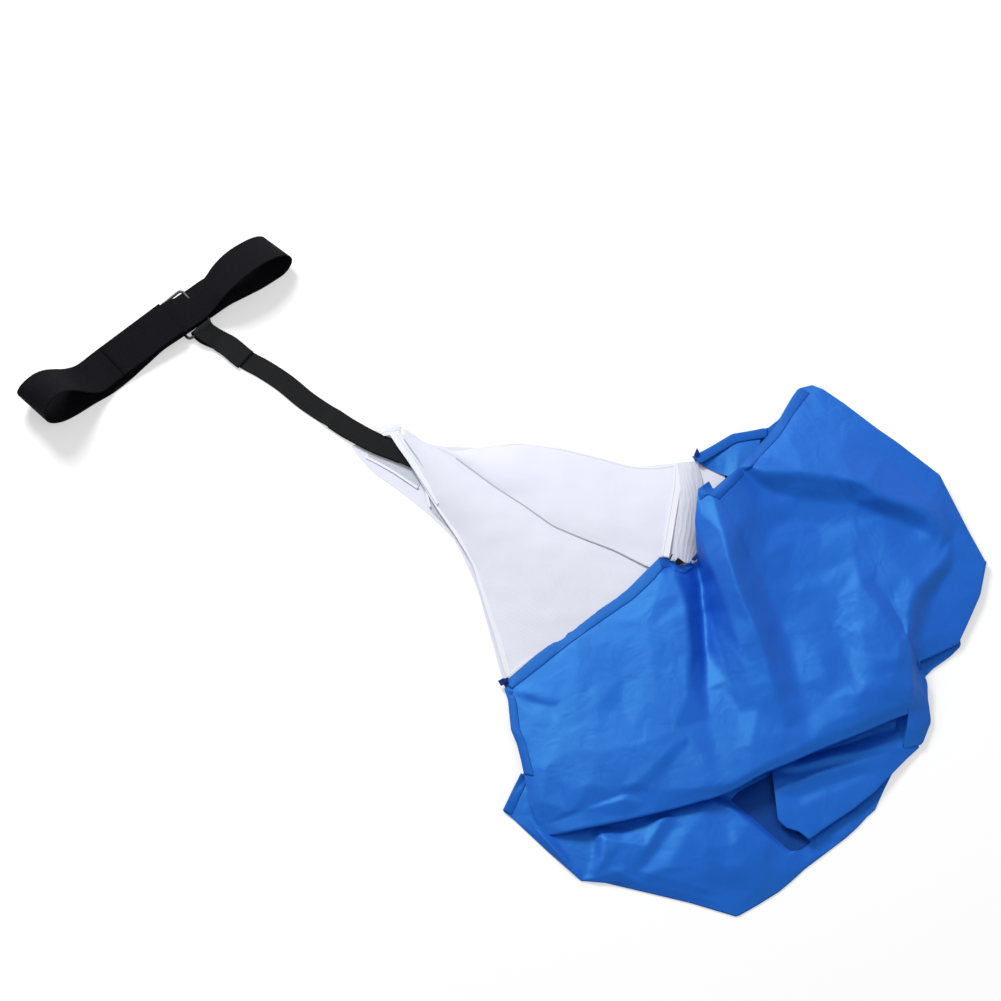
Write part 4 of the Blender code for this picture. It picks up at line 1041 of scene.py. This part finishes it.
# Where columns bend into the narrow lobe at the fold's right end, by station
LOBE_TURNS = {18: (908, 705), 19: (911, 701), 20: (914, 700), 21: (919, 698), 22: (925, 694), 23: (926, 684)}
TURN_SHARE = 0.86
# The front lobe, left of this column, is drawn smooth over the fold
CALM_LEFT_OF = 700
COLUMNS = 210
TOP_ROWS = 130
CURL_STEPS = 6
BACK_ROWS = 84
UNDER_ROWS = 24
spans = [0.0]
for one, two in zip(STATIONS, STATIONS[1:]):
    spans.append(spans[-1] + sum(math.dist(one[k][:2], two[k][:2]) for k in (0, 1, 1, 3)) / 4)
wanted = np.linspace(0, spans[-1], COLUMNS + 1)


def in_columns(points):
    """A line through the stations, read at every column of the cloth."""
    return np.stack([np.interp(wanted, spans, values) for values in zip(*points)], axis=1)


mouth, fold, tuck, outer, lower = (in_columns(station_line(k)) for k in range(5))
turns = []
for k, (start, end, *_) in enumerate(STATIONS):
    straight_turn = [start[axis] * (1 - TURN_SHARE) + end[axis] * TURN_SHARE for axis in (0, 1)]
    turns.append(LOBE_TURNS.get(k, straight_turn))
turn = in_columns(turns)
left_edge, right_edge = drawn(LEFT_EDGE, TOP_ROWS + 1), drawn(RIGHT_EDGE, TOP_ROWS + 1)
single_spots = [(spot,) for spot in TOP_SPOTS]
top_lines = [*TOP_CREASES, *single_spots, station_line(0), station_line(1), LEFT_EDGE[1:-1], RIGHT_EDGE[1:-1]]
top_height = relief(top_lines, seed=7, spacing=27.0, rough=0.85, clear=8.0, calm=CALM_LEFT_OF)
down = np.linspace(0, 1, TOP_ROWS + 1)[:, None]
over = np.linspace(0, 1, COLUMNS + 1)[None, :]
top_px = np.empty((TOP_ROWS + 1, COLUMNS + 1, 2))
for axis in range(2):
    start, middle, end = mouth[None, :, axis], turn[None, :, axis], fold[None, :, axis]
    first = start + (middle - start) * down / TURN_SHARE
    rest = middle + (end - middle) * (down - TURN_SHARE) / (1 - TURN_SHARE)
    plain = np.where(down < TURN_SHARE, first, rest)
    left_pull = left_edge[:, axis, None] - (mouth[0, axis] * (1 - down) + fold[0, axis] * down)
    right_pull = right_edge[:, axis, None] - (mouth[-1, axis] * (1 - down) + fold[-1, axis] * down)
    top_px[:, :, axis] = plain + left_pull * (1 - over) ** 6 + right_pull * over ** 6


NEIGHBOUR_SHARE = 0.15


def softened_folds(pixels, height, times):
    """Heights over a grid of pixels, softened inside by so many passes."""
    heights = height(pixels.reshape(-1, 2)).reshape(pixels.shape[:2])
    for _ in range(times):
        around = heights[:-2, 1:-1] + heights[2:, 1:-1] + heights[1:-1, :-2] + heights[1:-1, 2:]
        heights[1:-1, 1:-1] = heights[1:-1, 1:-1] * (1 - 4 * NEIGHBOUR_SHARE) + around * NEIGHBOUR_SHARE
    return heights


def cloth_places(pixels, heights):
    """Rows of the places that a grid of pixels shows at these heights."""
    return [[seen(px, py, z) for (px, py), z in zip(row, line)] for row, line in zip(pixels, heights)]


def cloth_between(first, second, count):
    """A grid of pixels from one line to another, so many rows further on."""
    down = np.linspace(0, 1, count + 1)[:, None, None]
    return first[None, :, :2] * (1 - down) + second[None, :, :2] * down


# The fold curls round in a half circle, at most so wide and at least so narrow, and keeps clear of the floor
CURL_RADIUS = 0.0022
CURL_LEAST = 0.0001
CURL_CLEAR = 0.0022
CURL_DEPTH = 2.2
TUCK_STEPS = 5
# The lowest layer runs back just above the floor, and drops there within its first part
OUTER_HEIGHT = 0.9
LOWER_DROP = 0.5
DROP_WITHIN = 0.05
SIDE_SHARES = (0, 0.25, 0.5, 0.75, 1)
SIDE_FOOT = 0.0006
SIDE_BULGE = Vector((0.0012, 0.0012, 0.0))
rows = cloth_places(top_px, softened_folds(top_px, top_height, 2))
folded = rows[-1]
tucked = [seen(*spot) for spot in tuck]
for step in range(1, CURL_STEPS + 1):
    angle = math.pi * step / CURL_STEPS
    row = []
    for place, inner in zip(folded, tucked):
        outward = place - inner
        outward.z = 0.0
        outward.normalize()
        radius = min(CURL_RADIUS, max(CURL_LEAST, (place.z - CURL_CLEAR) / CURL_DEPTH))
        row.append(place + outward * radius * math.sin(angle) - upward * radius * (1 - math.cos(angle)))
    rows.append(row)
curled = rows[-1]
for step in range(1, TUCK_STEPS + 1):
    rows.append([a.lerp(b, step / TUCK_STEPS) for a, b in zip(curled, tucked)])
back_lines = [*BACK_CREASES, station_line(2), station_line(3)]
back_height = relief(back_lines, seed=11, spacing=22.0, rough=1.0, clear=6.0)
back_px = cloth_between(tuck, outer, BACK_ROWS)
rows += cloth_places(back_px, softened_folds(back_px, back_height, 1))[1:]
for step in range(1, UNDER_ROWS + 1):
    t = step / UNDER_ROWS
    height = OUTER_HEIGHT - LOWER_DROP * min(1.0, t / DROP_WITHIN)
    rows.append([seen(px, py, height) for px, py in outer[:, :2] * (1 - t) + lower * t])
canopy_cloth = lying("canopy_cloth", rows, blue_taffeta)
belongs(canopy_cloth, "chute", "canopy")
POCKET_COLUMNS = 70
POCKET_ROWS = 36
# The pocket panel's lower edge turns under in three rows: how far down in the picture, and how far lower in mm
POCKET_TURN = ((0.8, 0.7), (0.5, 2.0), (-1.5, 3.2))
POCKET_FLOOR = 0.8
pocket_top, pocket_edge = drawn(POCKET_TOP, POCKET_COLUMNS + 1), drawn(POCKET_EDGE, POCKET_COLUMNS + 1)
pocket_lines = [*POCKET_CREASES, POCKET_TOP, POCKET_EDGE]
pocket_height = relief(pocket_lines, seed=5, spacing=22.0, rough=0.6, clear=6.0)
pocket_px = cloth_between(pocket_top, pocket_edge, POCKET_ROWS)
pocket_z = softened_folds(pocket_px, pocket_height, 2)
pocket_places = cloth_places(pocket_px, pocket_z)
for lower_px, drop in POCKET_TURN:
    pocket_places += cloth_places(pocket_px[-1:] + (0, lower_px), np.maximum(POCKET_FLOOR, pocket_z[-1:] - drop))
canopy_pocket = lying("canopy_pocket", pocket_places, blue_taffeta)
belongs(canopy_pocket, "chute")
# A patch of the darker taffeta in the notch between the fold's lip and the pocket panel: painted shade
NOTCH_LIP = ((728, 797, 3), (742, 811, 5), (758, 825, 5), (776, 841, 4), (791, 854, 3))
NOTCH_FAR = ((776, 772, 4), (780, 795, 4), (786, 822, 4), (800, 834, 3.5), (811, 842, 3))
canopy_notch_shade = patch("canopy_notch_shade", NOTCH_LIP, NOTCH_FAR, taffeta_painted_shade, (40, 20), rise=0.6)
belongs(canopy_notch_shade, "chute")
FLAP_OUTER = ((692, 457, 6), (700, 452.5, 6), (712, 446, 6), (732, 434, 6), (750, 431, 5.5), (764, 428, 5))
FLAP_LOWER = ((692.5, 457.5, 3), (703, 466, 3), (714, 471.5, 3.2), (724, 475, 5), (735, 478, 9), (752, 470, 9))
canopy_flap = patch("canopy_flap", FLAP_OUTER, FLAP_LOWER, blue_taffeta, (60, 24), rise=1.2)
belongs(canopy_flap, "chute")
side_rows = []
for row in rows[:TOP_ROWS + 1]:
    foot = Vector((row[-1].x, row[-1].y, SIDE_FOOT))
    side_rows.append([row[-1].lerp(foot, s) + SIDE_BULGE * math.sin(math.pi * s) for s in SIDE_SHARES])
canopy_side = lying("canopy_side", side_rows, blue_taffeta)
belongs(canopy_side, "chute")

# Canopy hem
# The mouth's edge is turned twice to 12 mm and stitched. Its raised edge catches the light, and the
# stitch line draws small puckers.
HEM_COLOURS = ((0.004, 0.062, 0.42), (0.006, 0.082, 0.51))
blue_hem = cloth_material(
    "blue hem", HEM_COLOURS, (0.5, 0.6), (1400, 1400), 0.00005, 0.03, 0.7, gloss=0.7, shine=TAFFETA_SHINE,
    stitches=(0.0, 0.0032, (0.002, 0.030, 0.24)),
)
# Shares across the hem from its outer to its inner edge, and how far each lies below its top in mm
HEM_PROFILE = ((0.0, 0.3), (0.05, 0.0), (0.25, 0.0), (0.5, 0.0), (0.72, 0.0), (0.8, 0.2), (0.88, 0.22), (1.0, 0.72))
HEM_THICKNESS = 0.0004
HEM_LIFT = 0.6
PUCKER = 0.18
PUCKERS_PER_PIXEL = 0.25


def hem(name, edge, inner, height, lift, count):
    """A turned hem between two lines of pixels, lying on the cloth below it or at one height."""
    outer_line, inner_line = (drawn([(*p, 0) for p in line], count, 1)[:, :2] for line in (edge, inner))
    places = []
    for first, second in zip(outer_line, inner_line):
        spots = np.array([first * (1 - s) + second * s for s, _ in HEM_PROFILE])
        ground = height(spots) if callable(height) else [height] * len(spots)
        row = []
        for (px, py), z, (_, drop) in zip(spots, ground, HEM_PROFILE):
            pucker = PUCKER * noise.noise(Vector((px * PUCKERS_PER_PIXEL, py * PUCKERS_PER_PIXEL, 3.0)))
            row.append(seen(px, py, z + (lift - drop + pucker)))
        places.append(row)
    return lying(name, places, blue_hem, HEM_THICKNESS)


HEM_MOUTH = ((504, 683), (508, 679), (536, 655), (567, 632), (597, 610), (628, 589), (646, 571), (660, 557))
HEM_MOUTH_IN = ((512, 689), (518, 685), (541, 667), (571, 643), (602, 621), (634, 599), (653, 581), (664, 568))
HEM_CORNER = ((659, 557), (669, 558.5), (676, 563.5), (685, 566), (691, 561))
HEM_CORNER_IN = ((664, 568), (670, 568), (675, 571), (685, 574), (693, 568))
HEM_LEFT = ((504, 688), (508, 700), (511, 730), (517, 744), (521, 760), (524, 774))
HEM_LEFT_IN = ((513, 692), (517, 704), (520, 729), (526, 744), (530, 760), (534, 776))
HEM_BACK = ((521, 773), (512, 791), (503, 810))
HEM_BACK_IN = ((529, 779), (520, 797), (512, 815))
HEM_RIGHT = (
    (698, 489), (709, 481), (713, 489.5), (726, 478), (739, 467), (757, 447), (773, 430), (786, 408), (800, 388),
)
HEM_RIGHT_IN = (
    (700, 501), (709, 494), (719, 500), (732, 487), (745, 474), (764, 453), (780, 436), (794, 414), (810, 393),
)
HEM_FLAP = ((692.5, 456.5), (700, 452.5), (712, 446), (732, 434), (750, 431), (768, 428))
HEM_FLAP_IN = ((700, 464), (706, 461), (716, 455), (736, 443), (752, 440), (768, 438))
FLAP_HEM_HEIGHT = 7.6
FLAP_HEM_LIFT = 0.5
hem_mouth = hem("hem_mouth", HEM_MOUTH, HEM_MOUTH_IN, top_height, HEM_LIFT, 90)
hem_right = hem("hem_right", HEM_RIGHT, HEM_RIGHT_IN, top_height, HEM_LIFT, 80)
hem_corner = hem("hem_corner", HEM_CORNER, HEM_CORNER_IN, top_height, HEM_LIFT, 30)
hem_left = hem("hem_left", HEM_LEFT, HEM_LEFT_IN, top_height, HEM_LIFT, 50)
hem_back = hem("hem_back", HEM_BACK, HEM_BACK_IN, back_height, HEM_LIFT, 30)
hem_flap = hem("hem_flap", HEM_FLAP, HEM_FLAP_IN, FLAP_HEM_HEIGHT, FLAP_HEM_LIFT, 40)
belongs(hem_mouth, "chute", "canopy_hem_upper")
belongs(hem_flap, "chute", "canopy_hem_lower")
for piece in (hem_right, hem_corner, hem_left, hem_back):
    belongs(piece, "chute")

# Corner ties
# Short folded tabs of dark blue tape join the cone's four corners to the hem. Each is knotted or
# stitched down, so only crumpled ends stick out. At the front corner a dark thread shows, and a black
# patch beside it is painted shade, where a gap between net and hem lies dark.
blue_tab = cloth_material(
    "dark blue tape", ((0.002, 0.013, 0.13), (0.005, 0.030, 0.24)), (0.6, 0.75), (900, 900), 0.0002, 0.01, 0.5,
    gloss=0.2,
)
# Black for the front corner's thread, and for a patch of painted shade in the dark gap beside it
black_thread_and_shade = cloth_material(
    "black thread and painted shade", ((0.003, 0.004, 0.012), (0.007, 0.010, 0.030)), (0.7, 0.8), (900, 900), 0.0002, 0.01, 0.5, gloss=0.1
)


TAB_STEPS = 8
TAB_THICKNESS = 0.0005
TAB_CRUMPLE = 0.5
CRUMPLES_PER_PIXEL = 0.4


def tab(name, corners, material, crumple=TAB_CRUMPLE):
    """A small folded tab between four corners, given as pixels and heights round its outline."""
    first, second, third, fourth = (np.array(corner, float) for corner in corners)
    rows = []
    for i in range(TAB_STEPS + 1):
        t = i / TAB_STEPS
        row = []
        for j in range(TAB_STEPS + 1):
            s = j / TAB_STEPS
            px, py, height = (first * (1 - s) + second * s) * (1 - t) + (fourth * (1 - s) + third * s) * t
            bend = noise.noise(Vector((px * CRUMPLES_PER_PIXEL, py * CRUMPLES_PER_PIXEL, 6.0)))
            row.append(seen(px, py, height + crumple * bend))
        rows.append(row)
    return lying(name, rows, material, TAB_THICKNESS)


LEFT_TAB = ((498, 681, 5), (503, 678, 7), (507, 683, 7), (501, 686, 5))
LEFT_TAB_END = ((503, 679, 8), (508.5, 677, 8), (508, 684, 6), (504, 685, 6))
# A black patch of painted shade in the gap between net and hem at the front corner
FRONT_HOLE_SHADE = ((675, 561.5, 22), (678, 557.5, 23), (685, 563, 22), (676.5, 565, 21))
FRONT_TIE_THREAD = ((671.8, 554, 24), (673, 554.3, 24), (670.6, 559, 22), (669.6, 558.6, 22))
RIGHT_TAB = ((694, 455, 9), (697, 447.8, 11), (699.6, 452.8, 10.5), (696, 457, 10))
RIDGE_TAB = ((691.5, 559.5, 15), (698, 551.5, 17), (702, 555, 17), (694.5, 561, 15))
UNDER_TAB = ((660, 598, 0.6), (668, 594, 0.6), (670, 600, 0.6), (662, 604, 0.6))
ties = (
    (tab("tie_left", LEFT_TAB, blue_tab), "corner_tie_left"),
    (tab("tie_left_end", LEFT_TAB_END, blue_tab), ""),
    (tab("tie_front", FRONT_HOLE_SHADE, black_thread_and_shade), "corner_tie_front"),
    (tab("tie_front_thread", FRONT_TIE_THREAD, black_thread_and_shade, 0.0), ""),
    (tab("tie_right", RIGHT_TAB, blue_tab), "corner_tie_right"),
    (tab("tie_ridge", RIDGE_TAB, blue_tab), ""),
    (tab("tie_under", UNDER_TAB, blue_tab), "corner_tie_under"),
)
for tie, node in ties:
    belongs(tie, "chute", node)
